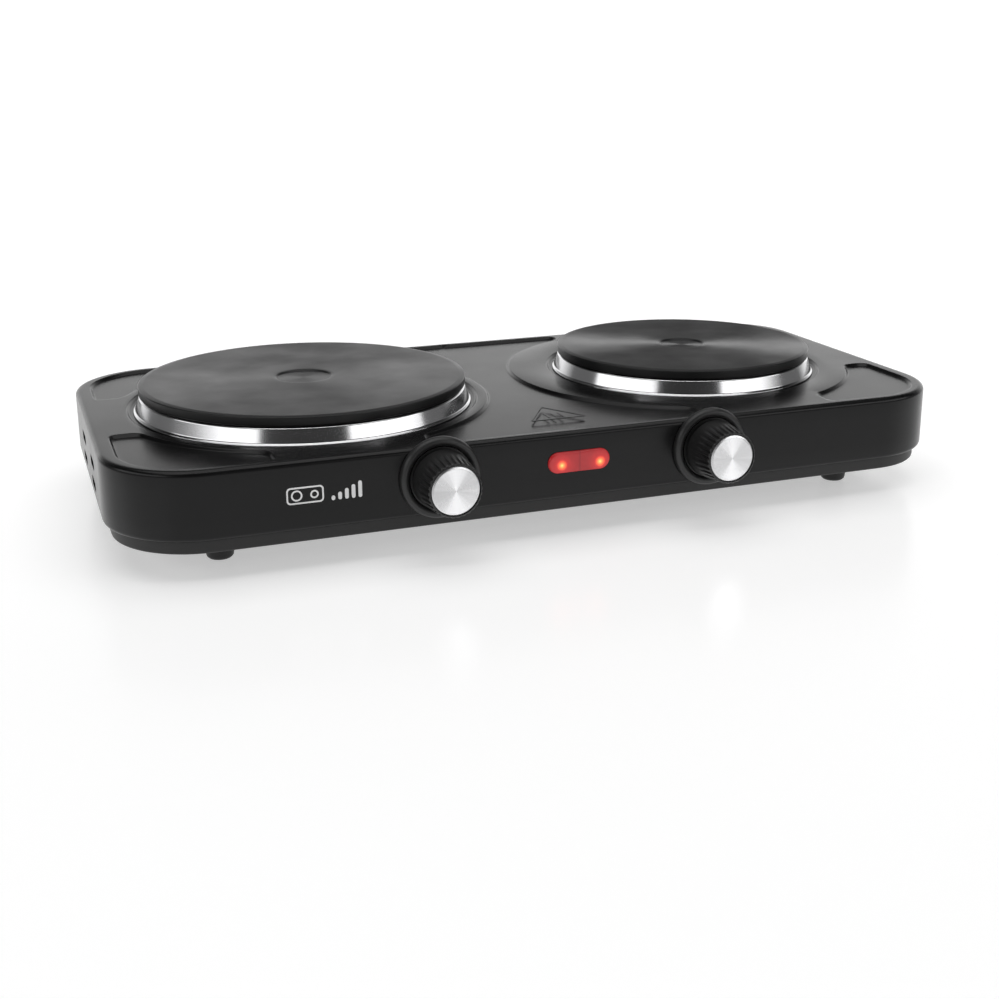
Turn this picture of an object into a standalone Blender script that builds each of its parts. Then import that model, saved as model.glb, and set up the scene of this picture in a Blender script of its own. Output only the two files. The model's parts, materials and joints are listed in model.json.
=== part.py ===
"""Portable double electric hot plate: two cast-iron plates in a pressed-steel case, two thermostat knobs.

Metres, +Z up, the table at z = 0. The front of the case, with the knobs, faces -Y. Run it with
    blender --background --python part.py
Every piece is its own object in the collection "double_hot_plate". The case and what is fixed to it are laid out
about the case's centre, on the empty "case_centre". Each control is laid out along its spindle, on an empty of
its own, whose +Z points out of the front wall.
"""

import math

import bmesh
import bpy
from mathutils import Matrix, Vector

# Driving dimensions of the case.
CASE_LENGTH = 0.474
CASE_DEPTH = 0.232
CORNER_RADIUS = 0.048
FOOT_HEIGHT = 0.0147
SEAM_Z = FOOT_HEIGHT + 0.0069
TOP_Z = FOOT_HEIGHT + 0.0428
SHEET = 0.0008
GAP = 0.0003

# The press work of the case.
TOP_BEND = 0.0030
LIP_ROLL = 0.0030
LIP_INSET = 0.0034
PAN_INSET = 0.0038
PAN_TOP_Z = FOOT_HEIGHT + 0.0135
PAN_EDGE = 0.0015
RIM_SIDE = 0.0090
RIM_FRONT = 0.0065
RECESS_DEPTH = 0.0016
LAND_HALF_WIDTH = 0.040
ROUND_RADIUS = 0.104
ROUND_X = 0.117
WELL_REACH = 0.0062
VENT_Y = (-0.0295, 0.0210)
VENT_Z = (FOOT_HEIGHT + 0.0163, FOOT_HEIGHT + 0.0277)
VENT_LENGTH = 0.0200
VENT_HEIGHT = 0.0052
PAN_SLOT_LENGTH = 0.044
PAN_SLOT_WIDTH = 0.0045
PAN_SLOT_PITCH = 0.024
PAN_SLOTS = 4
POST_RADIUS = 0.0045

# Cooking plates: name, radius of the cast disc, place along the case, radius of the dimple in its middle.
PLATES = (
    ("large", 0.0908, -0.1170, 0.0160),
    ("small", 0.0769, 0.1210, 0.0140),
)
PLATE_Y = 0.0036
PLATE_TOP_Z = TOP_Z + 0.0135
PLATE_RIM_THICK = 0.0050
PLATE_EDGE = 0.0008
DIMPLE_DEPTH = 0.0010
SKIRT_INSET = 0.0055
SKIRT_WALL = 0.0040
SKIRT_FOOT_Z = TOP_Z - 0.0011
PLATE_ROOF_Z = TOP_Z + 0.0067
BOSS_RADIUS = 0.0220
OPENING_INSET = 0.0035
RING_TOP_Z = TOP_Z + 0.0080
RING_REACH = 0.0032
RING_SHEET = 0.0007
COIL_WIRE = 0.0022
COIL_TURNS = 2
COIL_Z = TOP_Z + 0.0029
COVER_Z = TOP_Z - 0.0016
BOLT_RADIUS = 0.0029
BOLT_FOOT_Z = TOP_Z - 0.0163
STRAP_Z = TOP_Z - 0.0071
STRAP_THICK = 0.0015
STRAP_WIDTH = 0.020
STRAP_BEARING = 0.0070
NUT_HEIGHT = 0.0045
TERMINAL_SIZE = (0.026, 0.014, 0.010)
TERMINAL_Y = 0.040

# Controls, measured along the spindle from the front wall's outer face.
CONTROL_X = 0.0759
CONTROL_Z = FOOT_HEIGHT + 0.0270
BEZEL_RADIUS = 0.0212
BEZEL_DEPTH = 0.0042
BEZEL_BORE = 0.0163
BEZEL_FLOOR = 0.0012
BUSH_RADIUS = 0.0045
BUSH_OUT = 0.0048
BUSH_BORE = 0.0031
BUSH_NUT_WIDTH = 0.0120
BUSH_NUT_HEIGHT = 0.0022
SPINDLE_RADIUS = 0.0030
SPINDLE_FLAT = 0.0020
SPINDLE_OUT = 0.0205
KNOB_BASE = 0.0055
KNOB_FRONT = 0.0260
KNOB_BASE_RADIUS = 0.0157
KNOB_FRONT_RADIUS = 0.0140
KNOB_RIBS = 30
KNOB_RIB_DEPTH = 0.0006
KNOB_WALL = 0.0022
KNOB_HUB = 0.0056
CAP_RADIUS = 0.01275
CAP_THICK = 0.0012
CAP_PROUD = 0.0005

# Thermostats, behind the front wall.
THERMOSTAT_WIDTH = 0.030
THERMOSTAT_DEPTH = 0.026
THERMOSTAT_HEIGHT = 0.022
THERMOSTAT_WALL = 0.0030
THERMOSTAT_FRONT = 0.0065
PIN_RADIUS = 0.0013
PIN_LENGTH = 0.0085
ARM_THICK = 0.0016
ARM_HEIGHT = 0.0070
ARM_PIVOT_X = 0.0095

# Indicator, mains entry and feet.
LENS_Z = FOOT_HEIGHT + 0.0270
LENS_LENGTH = 0.0346
LENS_HEIGHT = 0.0112
LENS_PROUD = 0.0012
LENS_DEEP = 0.0040
LAMP_X = 0.0113
LAMP_RADIUS = 0.0026
LAMP_LENGTH = 0.0110
GLAND_X = 0.0600
GLAND_Z = FOOT_HEIGHT + 0.0200
GLAND_BORE = 0.0042
GLAND_NECK = 0.0062
GLAND_FLANGE = 0.0085
GLAND_OUT = 0.0085
MAINS_Y = 0.083
MAINS_X = (-0.012, 0.0, 0.012)
EARTH_X = 0.095
EARTH_Y = 0.085
FOOT_X = 0.1815
FOOT_Y = 0.0780
FOOT_RADIUS = 0.0080
FOOT_SOLE_RADIUS = 0.0056
FOOT_WELL = 0.0080
SCREW_REACH = 0.0150
SCREW_RADIUS = 0.0018
SCREW_HOLE = 0.0022
WIRE_RADIUS = 0.0011

MAINS_HOLE_Z = FOOT_HEIGHT + SHEET + GAP + 0.007

# The case's centre lies behind the middle of the whole, because the knobs stand further out than the gland.
KNOB_REACH = KNOB_FRONT + CAP_PROUD
CASE_Y = (KNOB_REACH - GLAND_OUT) / 2
FRONT_Y = -CASE_DEPTH / 2
BACK_Y = CASE_DEPTH / 2
SIDES = (("left", -1), ("right", 1))
CORNERS = (("front_left", -1, -1), ("front_right", 1, -1), ("rear_left", -1, 1), ("rear_right", 1, 1))

FINISHES = {
    "shell_paint": ((0.018, 0.018, 0.019), 0.38, 0.0),
    "pan_paint": ((0.020, 0.020, 0.021), 0.50, 0.0),
    "rubber": ((0.012, 0.012, 0.012), 0.60, 0.0),
    "cast_iron": ((0.050, 0.050, 0.051), 0.45, 0.6),
    "stainless": ((0.62, 0.62, 0.62), 0.22, 1.0),
    "zinc_steel": ((0.50, 0.51, 0.52), 0.35, 1.0),
    "resistance_wire": ((0.30, 0.27, 0.24), 0.50, 1.0),
    "ceramic": ((0.80, 0.78, 0.72), 0.55, 0.0),
    "knob_plastic": ((0.014, 0.014, 0.014), 0.42, 0.0),
    "spun_aluminium": ((0.80, 0.80, 0.81), 0.25, 1.0),
    "bezel_plastic": ((0.016, 0.016, 0.016), 0.40, 0.0),
    "red_lens": ((0.75, 0.03, 0.03), 0.15, 0.0),
    "lamp_glass": ((1.00, 0.45, 0.15), 0.10, 0.0),
    "holder_plastic": ((0.030, 0.030, 0.030), 0.50, 0.0),
    "terminal_plastic": ((0.70, 0.70, 0.66), 0.45, 0.0),
    "brass": ((0.70, 0.52, 0.25), 0.30, 1.0),
    "wire_sleeve": ((0.72, 0.70, 0.66), 0.70, 0.0),
}


# ---------------------------------------------------------------- scene and helpers


def clear_scene():
    for obj in list(bpy.data.objects):
        bpy.data.objects.remove(obj)


def make_collection(name):
    collection = bpy.data.collections.new(name)
    bpy.context.scene.collection.children.link(collection)
    return collection


def make_empty(name, location, rotation=(0.0, 0.0, 0.0), parent=None):
    empty = bpy.data.objects.new(name, None)
    parts.objects.link(empty)
    empty.location = location
    empty.rotation_euler = rotation
    empty.parent = parent
    return empty


def finish_of(name):
    """The Principled material of one finish, made once."""
    found = bpy.data.materials.get(name)
    if found:
        return found
    colour, roughness, metallic = FINISHES[name]
    made = bpy.data.materials.new(name)
    made.use_nodes = True
    shader = made.node_tree.nodes["Principled BSDF"]
    shader.inputs["Base Color"].default_value = (*colour, 1.0)
    shader.inputs["Roughness"].default_value = roughness
    shader.inputs["Metallic"].default_value = metallic
    return made


def place(name, mesh, parent, location=(0, 0, 0), finish=None):
    """A mesh as an object under its frame. With no finish it is a cutter, which isn't part of the hot plate."""
    obj = bpy.data.objects.new(name, mesh)
    obj.parent = parent
    obj.location = location
    if finish is None:
        cutters.objects.link(obj)
        obj.hide_render = True
        obj.display_type = "WIRE"
    else:
        parts.objects.link(obj)
        mesh.materials.append(finish_of(finish))
        mesh.shade_smooth()
        mesh.set_sharp_from_angle(angle=math.radians(35))
    return obj


def boolean(obj, other, operation="DIFFERENCE"):
    modifier = obj.modifiers.new(operation.lower(), "BOOLEAN")
    modifier.operation = operation
    modifier.object = other
    return obj


def mesh_of(bm, name):
    mesh = bpy.data.meshes.new(name)
    bm.to_mesh(mesh)
    bm.free()
    return mesh


def block_mesh(name, low, high, upright_radius=0.0, upright_segments=8, top=(0.0, 1), foot=(0.0, 1)):
    """A box between two corners. Its upright edges are rounded first, then its top and foot edges, each by (radius, steps)."""
    bm = bmesh.new()
    size = Vector(high) - Vector(low)
    middle = (Vector(high) + Vector(low)) / 2
    bmesh.ops.create_cube(bm, matrix=Matrix.Translation(middle) @ Matrix.Diagonal((*size, 1.0)))
    if upright_radius:
        upright = [e for e in bm.edges if abs(e.verts[0].co.z - e.verts[1].co.z) > size.z / 2]
        bmesh.ops.bevel(bm, geom=upright, offset=upright_radius, segments=upright_segments, profile=0.5, affect="EDGES")
    for level, (radius, steps) in ((high[2], top), (low[2], foot)):
        if radius:
            loop = [e for e in bm.edges if all(abs(v.co.z - level) < 1e-6 for v in e.verts)]
            bmesh.ops.bevel(bm, geom=loop, offset=radius, segments=steps, profile=0.5, affect="EDGES")
    return mesh_of(bm, name)


def cylinder_mesh(name, radius, z0, z1, centre=(0.0, 0.0), segments=32, end_radius=None):
    """A cylinder along Z, or a cone where the radius at its top differs."""
    bm = bmesh.new()
    end_radius = radius if end_radius is None else end_radius
    spot = Matrix.Translation((centre[0], centre[1], (z0 + z1) / 2))
    bmesh.ops.create_cone(
        bm, cap_ends=True, segments=segments, radius1=radius, radius2=end_radius, depth=z1 - z0, matrix=spot
    )
    return mesh_of(bm, name)


def turned(name, profile, parent, location=(0, 0, 0), finish=None, steps=48, closed=True):
    """A profile of (radius, z) points turned about Z. Its points run down the outer side."""
    mesh = bpy.data.meshes.new(name)
    count = len(profile)
    edges = [(i, (i + 1) % count) for i in range(count if closed else count - 1)]
    mesh.from_pydata([(r, 0.0, z) for r, z in profile], edges, [])
    obj = place(name, mesh, parent, location, finish)
    screw = obj.modifiers.new("turn", "SCREW")
    screw.steps = steps
    screw.render_steps = steps
    screw.use_merge_vertices = True
    screw.merge_threshold = 0.00001
    screw.use_smooth_shade = True
    return obj


def outline_mesh(name, outline, thickness):
    """A closed outline in XY as a plate about z = 0, welded to one closed mesh."""
    curve = bpy.data.curves.new(name, "CURVE")
    curve.dimensions = "2D"
    curve.fill_mode = "BOTH"
    curve.extrude = thickness / 2
    spline = curve.splines.new("POLY")
    spline.points.add(len(outline) - 1)
    for point, (x, y) in zip(spline.points, outline):
        point.co = (x, y, 0.0, 1.0)
    spline.use_cyclic_u = True
    source = bpy.data.objects.new(name + "_curve", curve)
    bpy.context.scene.collection.objects.link(source)
    graph = bpy.context.evaluated_depsgraph_get()
    mesh = bpy.data.meshes.new_from_object(source.evaluated_get(graph))
    bpy.data.objects.remove(source)
    bm = bmesh.new()
    bm.from_mesh(mesh)
    bmesh.ops.remove_doubles(bm, verts=bm.verts, dist=0.00001)
    bm.to_mesh(mesh)
    bm.free()
    return mesh


def slot_outline(length, width, steps=6):
    """A straight slot with round ends, along X, about the origin."""
    radius = width / 2
    reach = length / 2 - radius
    points = []
    for side, first in ((1, -90), (-1, 90)):
        for i in range(steps + 1):
            angle = math.radians(first + 180 * i / steps)
            points.append((side * reach + radius * math.cos(angle), radius * math.sin(angle)))
    return points


def smooth_route(points, steps=4):
    """Points along a Catmull-Rom curve through the given ones."""
    knots = [Vector(p) for p in points]
    knots = [2 * knots[0] - knots[1], *knots, 2 * knots[-1] - knots[-2]]
    route = []
    for a, b, c, d in zip(knots, knots[1:], knots[2:], knots[3:]):
        for i in range(steps):
            t = i / steps
            route.append(
                0.5 * (2 * b + (c - a) * t + (2 * a - 5 * b + 4 * c - d) * t**2 + (3 * b - a - 3 * c + d) * t**3)
            )
    return [*route, knots[-2]]


def wire(name, points, finish="wire_sleeve", radius=WIRE_RADIUS, steps=2):
    """A round wire along a smooth route, as a curve with filled caps."""
    curve = bpy.data.curves.new(name, "CURVE")
    curve.dimensions = "3D"
    curve.bevel_depth = radius
    curve.bevel_resolution = 2
    curve.use_fill_caps = True
    route = smooth_route(points, steps)
    spline = curve.splines.new("POLY")
    spline.points.add(len(route) - 1)
    for point, spot in zip(spline.points, route):
        point.co = (*spot, 1.0)
    curve.materials.append(finish_of(finish))
    obj = bpy.data.objects.new(name, curve)
    obj.parent = case
    parts.objects.link(obj)
    return obj


# ---------------------------------------------------------------- the case


def case_block(name, inset, z0, z1, top=(0.0, 1), foot=(0.0, 1), finish=None):
    """The case's plan, a rectangle with round corners, drawn in by an inset and raised from z0 to z1."""
    x, y = CASE_LENGTH / 2 - inset, CASE_DEPTH / 2 - inset
    radius = CORNER_RADIUS - inset
    mesh = block_mesh(name, (-x, -y, z0), (x, y, z1), radius, 6, top, foot)
    return place(name, mesh, case, finish=finish)


def recess_cutter(name, grow, floor_z):
    """The low parts of the top: all inside the rim and outside the raised rounds and their lands, and the rings' wells.

    grow widens it on every side, for the same press work on the inside of the sheet.
    """
    x = CASE_LENGTH / 2 - RIM_SIDE + grow
    y = CASE_DEPTH / 2 - RIM_FRONT + grow
    radius = CORNER_RADIUS - RIM_SIDE + grow
    above = TOP_Z + 0.004
    cutter = place(name, block_mesh(name, (-x, -y, floor_z), (x, y, above), radius, 6), case)
    for plate, _, plate_x, _ in PLATES:
        raised = f"{name}_{plate}_round"
        middle, outward = math.copysign(ROUND_X, plate_x), math.copysign(0.2, plate_x)
        mesh = cylinder_mesh(raised, ROUND_RADIUS - grow, floor_z - 0.01, above + 0.01, (middle, PLATE_Y), 40)
        boolean(cutter, place(raised, mesh, case))
        half = LAND_HALF_WIDTH - grow
        for land, low, high in (
            ("long", (middle - half, -0.2), (middle + half, 0.2)),
            ("side", (min(middle, middle + outward), PLATE_Y - half), (max(middle, middle + outward), PLATE_Y + half)),
        ):
            label = f"{name}_{plate}_{land}_land"
            mesh = block_mesh(label, (*low, floor_z - 0.011), (*high, above + 0.011))
            boolean(cutter, place(label, mesh, case))
    for plate, radius, plate_x, _ in PLATES:
        label = f"{name}_{plate}_well"
        mesh = cylinder_mesh(label, radius + WELL_REACH + grow, floor_z, above, (plate_x, PLATE_Y), 40)
        boolean(cutter, place(label, mesh, case), "UNION")
    return cutter


def make_top_shell():
    shell = case_block("top_shell", 0.0, SEAM_Z, TOP_Z, (TOP_BEND, 3), (LIP_ROLL, 2), "shell_paint")
    boolean(shell, recess_cutter("recess", 0.0, TOP_Z - RECESS_DEPTH))
    hollow = case_block(
        "shell_hollow", SHEET, SEAM_Z + SHEET, TOP_Z - SHEET, (TOP_BEND - SHEET, 2), (LIP_ROLL - SHEET, 2)
    )
    boolean(hollow, recess_cutter("recess_back", SHEET, TOP_Z - RECESS_DEPTH - SHEET))
    boolean(shell, hollow)
    boolean(shell, case_block("shell_mouth", LIP_INSET, SEAM_Z - 0.002, SEAM_Z + 0.003))
    for plate, radius, x, _ in PLATES:
        label = f"{plate}_opening"
        mesh = cylinder_mesh(label, radius - OPENING_INSET, TOP_Z - 0.01, TOP_Z + 0.01, (x, PLATE_Y), 40)
        boolean(shell, place(label, mesh, case))
    for corner, sx, sy in CORNERS:
        add_post(shell, corner, sx * FOOT_X, sy * FOOT_Y, RECESS_DEPTH if sy < 0 else 0.0)
    cut_front_wall(shell)
    cut_vents(shell)
    return shell


def add_post(shell, corner, x, y, recess):
    """A post welded under the top, where it lies recess deep, which the foot's screw goes up into."""
    name = f"{corner}_post"
    z0 = FOOT_HEIGHT + SHEET + GAP
    z1 = TOP_Z - recess - SHEET / 2
    post = place(name, cylinder_mesh(name, POST_RADIUS, z0, z1, (x, y), 10), case)
    boolean(shell, post, "UNION")
    label = name + "_hole"
    hole = place(label, cylinder_mesh(label, SCREW_HOLE, z0 - 0.002, z0 + SCREW_REACH + 0.002, (x, y), 8), case)
    boolean(shell, hole)


def cut_front_wall(shell):
    """Round holes for the thermostats' bushes, a long one for the indicator, and the gland's hole at the back."""
    for side, s in SIDES:
        label = f"{side}_bush_hole"
        mesh = cylinder_mesh(label, BUSH_RADIUS + GAP, -0.01, 0.01, segments=20)
        boolean(shell, place(label, mesh, controls[side]))
    mesh = outline_mesh("lens_window", slot_outline(LENS_LENGTH - 0.002, LENS_HEIGHT - 0.002), 0.01)
    window = place("lens_window", mesh, case, (0, FRONT_Y, LENS_Z))
    window.rotation_euler = (math.pi / 2, 0, 0)
    boolean(shell, window)
    mesh = cylinder_mesh("gland_hole", GLAND_NECK + GAP, -0.01, 0.01, segments=16)
    hole = place("gland_hole", mesh, case, (GLAND_X, BACK_Y, GLAND_Z))
    hole.rotation_euler = (math.pi / 2, 0, 0)
    boolean(shell, hole)


def cut_vents(shell):
    """Two rows of two vent slots in each end wall. One cutter goes right through, so it cuts both ends."""
    for i, y in enumerate(VENT_Y):
        for j, z in enumerate(VENT_Z):
            label = f"vent_{i}_{j}"
            mesh = outline_mesh(label, slot_outline(VENT_LENGTH, VENT_HEIGHT, 3), CASE_LENGTH + 0.02)
            vent = place(label, mesh, case, (0, y, z))
            vent.rotation_euler = (math.pi / 2, 0, math.pi / 2)
            boolean(shell, vent)


def make_base_pan():
    pan = case_block("base_pan", PAN_INSET, FOOT_HEIGHT, PAN_TOP_Z, foot=(PAN_EDGE, 2), finish="pan_paint")
    inside = case_block("pan_inside", PAN_INSET + SHEET, FOOT_HEIGHT + SHEET, PAN_TOP_Z + 0.01)
    boolean(pan, inside)
    for corner, sx, sy in CORNERS:
        label = f"{corner}_pan_hole"
        mesh = cylinder_mesh(label, SCREW_HOLE, 0.0, PAN_TOP_Z, (sx * FOOT_X, sy * FOOT_Y), 8)
        boolean(pan, place(label, mesh, case))
    for plate, _, x, _ in PLATES:
        for i in range(PAN_SLOTS):
            label = f"{plate}_pan_slot_{i}"
            mesh = outline_mesh(label, slot_outline(PAN_SLOT_LENGTH, PAN_SLOT_WIDTH, 3), 0.01)
            y = (i - (PAN_SLOTS - 1) / 2) * PAN_SLOT_PITCH
            boolean(pan, place(label, mesh, case, (x, y, FOOT_HEIGHT)))
    return pan


def make_feet():
    """Rubber feet, each with a well in its sole for the screw that holds foot, pan and case together."""
    top = FOOT_HEIGHT - GAP
    well_floor = top - FOOT_WELL
    profile = [
        (SCREW_HOLE, top),
        (FOOT_RADIUS, top),
        (FOOT_RADIUS, 0.0040),
        (FOOT_RADIUS - 0.0010, 0.0014),
        (FOOT_SOLE_RADIUS, 0.0),
        (0.0038, 0.0),
        (0.0038, well_floor),
        (SCREW_HOLE, well_floor),
    ]
    head = well_floor - GAP
    tip = top + SCREW_REACH
    screw = [
        (0.0, tip),
        (SCREW_RADIUS - 0.0006, tip),
        (SCREW_RADIUS, tip - 0.0015),
        (SCREW_RADIUS, head),
        (0.0034, head),
        (0.0032, head - 0.0014),
        (0.0020, head - 0.0022),
        (0.0, head - 0.0022),
    ]
    for corner, sx, sy in CORNERS:
        spot = (sx * FOOT_X, sy * FOOT_Y, 0.0)
        turned(f"{corner}_foot", profile, case, spot, "rubber", 12)
        driven = turned(f"{corner}_foot_screw", screw, case, spot, "zinc_steel", 8, closed=False)
        label = f"{corner}_screw_slot"
        mesh = block_mesh(label, (-0.0005, -0.005, head - 0.004), (0.0005, 0.005, head - 0.0012))
        boolean(driven, place(label, mesh, case, spot))


# ---------------------------------------------------------------- cooking plates


def make_cooking_plate(name, radius, x, dimple):
    """The cast plate and everything hung from it, from the rim ring down to the clamp strap and its nut."""
    spot = (x, PLATE_Y, 0.0)
    make_casting(name, radius, dimple, spot)
    make_trim_ring(name, radius, spot)
    make_coil(name, radius, x)
    make_cover(name, radius, spot)
    make_strap(name, radius, spot)
    make_bolt(name, spot)
    make_plate_terminal(name, x)


def make_casting(name, radius, dimple, spot):
    """A disc with a dimple on top, and below it a skirt and a centre boss about the heating coil's channel."""
    top, rim = PLATE_TOP_Z, PLATE_TOP_Z - PLATE_RIM_THICK
    skirt = radius - SKIRT_INSET
    inner = skirt - SKIRT_WALL
    profile = [
        (0.0, top - DIMPLE_DEPTH),
        (dimple - 0.0012, top - DIMPLE_DEPTH),
        (dimple, top),
        (radius - PLATE_EDGE, top),
        (radius, top - PLATE_EDGE),
        (radius, rim),
        (skirt, rim),
        (skirt, SKIRT_FOOT_Z),
        (inner, SKIRT_FOOT_Z),
        (inner, PLATE_ROOF_Z),
        (BOSS_RADIUS, PLATE_ROOF_Z),
        (BOSS_RADIUS, SKIRT_FOOT_Z),
        (BOLT_RADIUS + GAP, SKIRT_FOOT_Z),
        (BOLT_RADIUS + GAP, PLATE_ROOF_Z),
        (0.0, PLATE_ROOF_Z),
    ]
    turned(f"{name}_hotplate", profile, case, spot, "cast_iron", 40, closed=False)


def make_trim_ring(name, radius, spot):
    """A pressed rim ring: a flat lip under the cast disc, then a skirt that slopes out to its well in the top of the case."""
    skirt = radius - SKIRT_INSET + GAP
    foot = TOP_Z - RECESS_DEPTH + GAP
    outer = [
        (skirt, RING_TOP_Z),
        (radius - 0.0014, RING_TOP_Z),
        (radius - 0.0002, RING_TOP_Z - 0.0008),
        (radius + RING_REACH, foot),
    ]
    inner = [(r - RING_SHEET, z - RING_SHEET * 0.7) for r, z in outer[1:]]
    inner[-1] = (outer[-1][0] - RING_SHEET * 1.4, foot)
    profile = [*outer, *reversed(inner), (skirt, RING_TOP_Z - RING_SHEET)]
    turned(f"{name}_trim_ring", profile, case, spot, "stainless", 40)


def make_coil(name, radius, x):
    """The sheathed heating element: a flat spiral in the casting's channel, with both ends turned down."""
    outer = radius - SKIRT_INSET - SKIRT_WALL - 0.006
    inner = BOSS_RADIUS + 0.014
    steps = COIL_TURNS * 14
    points = []
    for i in range(steps + 1):
        angle = math.pi / 2 + 2 * math.pi * COIL_TURNS * i / steps
        reach = inner + (outer - inner) * i / steps
        points.append((x + reach * math.cos(angle), PLATE_Y + reach * math.sin(angle), COIL_Z))
    wire(f"{name}_heating_coil", points, "resistance_wire", COIL_WIRE, 1)


def make_cover(name, radius, spot):
    """The pressed lid that closes the casting from below, dished around its edge."""
    edge = radius - SKIRT_INSET - 0.0010
    top = COVER_Z
    profile = [
        (BOLT_RADIUS + GAP, top),
        (edge, top),
        (edge, top - SHEET),
        (edge - 0.0100, top - SHEET),
        (edge - 0.0120, top - SHEET - 0.0010),
        (BOLT_RADIUS + GAP, top - SHEET - 0.0010),
    ]
    turned(f"{name}_cover_pan", profile, case, spot, "zinc_steel", 24)


def make_strap(name, radius, spot):
    """A cranked steel strap across the opening. Its ends bear on the underside of the well and its bolt draws the plate down."""
    reach = radius + STRAP_BEARING
    knee = radius - OPENING_INSET + 0.0010
    end_top = TOP_Z - RECESS_DEPTH - SHEET - GAP
    low_top = STRAP_Z + STRAP_THICK
    half = [
        (knee - 0.0060, low_top),
        (knee - 0.0010, end_top),
        (reach, end_top),
        (reach, end_top - STRAP_THICK),
        (knee, end_top - STRAP_THICK),
        (knee - 0.0050, STRAP_Z),
    ]
    outline = half + [(-px, pz) for px, pz in reversed(half)]
    label = f"{name}_clamp_strap"
    strap = place(label, outline_mesh(label, outline, STRAP_WIDTH), case, spot, "zinc_steel")
    strap.rotation_euler = (math.pi / 2, 0, 0)
    hole = f"{name}_strap_hole"
    boolean(strap, place(hole, cylinder_mesh(hole, BOLT_RADIUS + GAP, BOLT_FOOT_Z, TOP_Z, segments=16), case, spot))


def make_bolt(name, spot):
    """The centre bolt, set in the casting's boss, and the hexagon nut under the strap."""
    top = PLATE_ROOF_Z - GAP
    mesh = cylinder_mesh(f"{name}_centre_bolt", BOLT_RADIUS, BOLT_FOOT_Z, top, segments=16)
    place(f"{name}_centre_bolt", mesh, case, spot, "zinc_steel")
    nut_top = STRAP_Z - GAP
    nut = place(
        f"{name}_bolt_nut",
        cylinder_mesh(f"{name}_bolt_nut", 0.0058, nut_top - NUT_HEIGHT, nut_top, segments=6),
        case,
        spot,
        "zinc_steel",
    )
    bore = f"{name}_nut_bore"
    boolean(nut, place(bore, cylinder_mesh(bore, BOLT_RADIUS + GAP, BOLT_FOOT_Z, TOP_Z, segments=16), case, spot))


def make_plate_terminal(name, x):
    """The ceramic terminal on the cover, with a row of two wire holes through it."""
    sx, sy, sz = TERMINAL_SIZE
    top = COVER_Z - SHEET - 0.0010 - GAP
    label = f"{name}_plate_terminal"
    low = (x - sx / 2, TERMINAL_Y - sy / 2, top - sz)
    high = (x + sx / 2, TERMINAL_Y + sy / 2, top)
    block = place(label, block_mesh(label, low, high, 0.0015, 3), case, finish="ceramic")
    for i, dx in enumerate((-0.006, 0.006)):
        hole = f"{label}_hole_{i}"
        drill = place(hole, cylinder_mesh(hole, 0.0020, -0.02, 0.02, segments=12), case, (x + dx, TERMINAL_Y, top - sz / 2))
        drill.rotation_euler = (math.pi / 2, 0, 0)
        boolean(block, drill)


# ---------------------------------------------------------------- controls


def make_control(side):
    """One control, laid out along its spindle: bezel, thermostat, nut, then the turning group."""
    frame = controls[side]
    make_bezel(side, frame)
    make_thermostat(side, frame)
    make_bush_nut(side, frame)
    make_spindle(side, frame)
    make_knob(side, frame)
    make_knob_cap(side, frame)
    make_setting_pin(side, frame)
    make_contact_arm(side, frame)


def make_bezel(side, frame):
    """A dished ring round the knob. The bush's nut clamps its floor to the front wall."""
    back, front, rim = GAP, BEZEL_DEPTH, BEZEL_RADIUS
    profile = [
        (BUSH_RADIUS + GAP, back + BEZEL_FLOOR),
        (BEZEL_BORE, back + BEZEL_FLOOR),
        (BEZEL_BORE, front - 0.0012),
        (BEZEL_BORE + 0.0014, front),
        (rim - 0.0014, front - 0.0005),
        (rim - 0.0003, front - 0.0014),
        (rim, front - 0.0026),
        (rim, back),
        (BUSH_RADIUS + GAP, back),
    ]
    turned(f"{side}_bezel", profile, frame, finish="bezel_plastic", steps=32)


def make_thermostat(side, frame):
    """The ceramic case with its threaded bush. It is open on one side, where the pin and the contact arm show."""
    label = f"{side}_thermostat"
    w, h = THERMOSTAT_WIDTH / 2, THERMOSTAT_HEIGHT / 2
    front = -SHEET - GAP
    back = front - THERMOSTAT_DEPTH
    body = place(label, block_mesh(label, (-w, -h, back), (w, h, front), 0.0015, 2), frame, finish="ceramic")
    wall = THERMOSTAT_WALL
    chamber = f"{side}_thermostat_chamber"
    low = (-w + wall, -h + wall, back + wall)
    high = (w - wall, h + 0.01, front - THERMOSTAT_FRONT)
    boolean(body, place(chamber, block_mesh(chamber, low, high), frame))
    bush = f"{side}_thermostat_bush"
    mesh = cylinder_mesh(bush, BUSH_RADIUS, front - 0.002, BUSH_OUT, segments=20)
    boolean(body, place(bush, mesh, frame), "UNION")
    bore = f"{side}_thermostat_bore"
    mesh = cylinder_mesh(bore, BUSH_BORE, front - 0.0045, BUSH_OUT + 0.01, segments=24)
    boolean(body, place(bore, mesh, frame))
    guide = f"{side}_pin_guide"
    mesh = cylinder_mesh(guide, PIN_RADIUS + 0.0002, -0.02, 0.0, segments=12)
    boolean(body, place(guide, mesh, frame))


def make_bush_nut(side, frame):
    z0 = GAP + BEZEL_FLOOR + GAP
    label = f"{side}_bush_nut"
    circle = BUSH_NUT_WIDTH / 2 / math.cos(math.pi / 6)
    nut = place(label, cylinder_mesh(label, circle, z0, z0 + BUSH_NUT_HEIGHT, segments=6), frame, finish="zinc_steel")
    bore = label + "_bore"
    boolean(nut, place(bore, cylinder_mesh(bore, BUSH_RADIUS + GAP, -0.01, 0.02, segments=16), frame))


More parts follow.
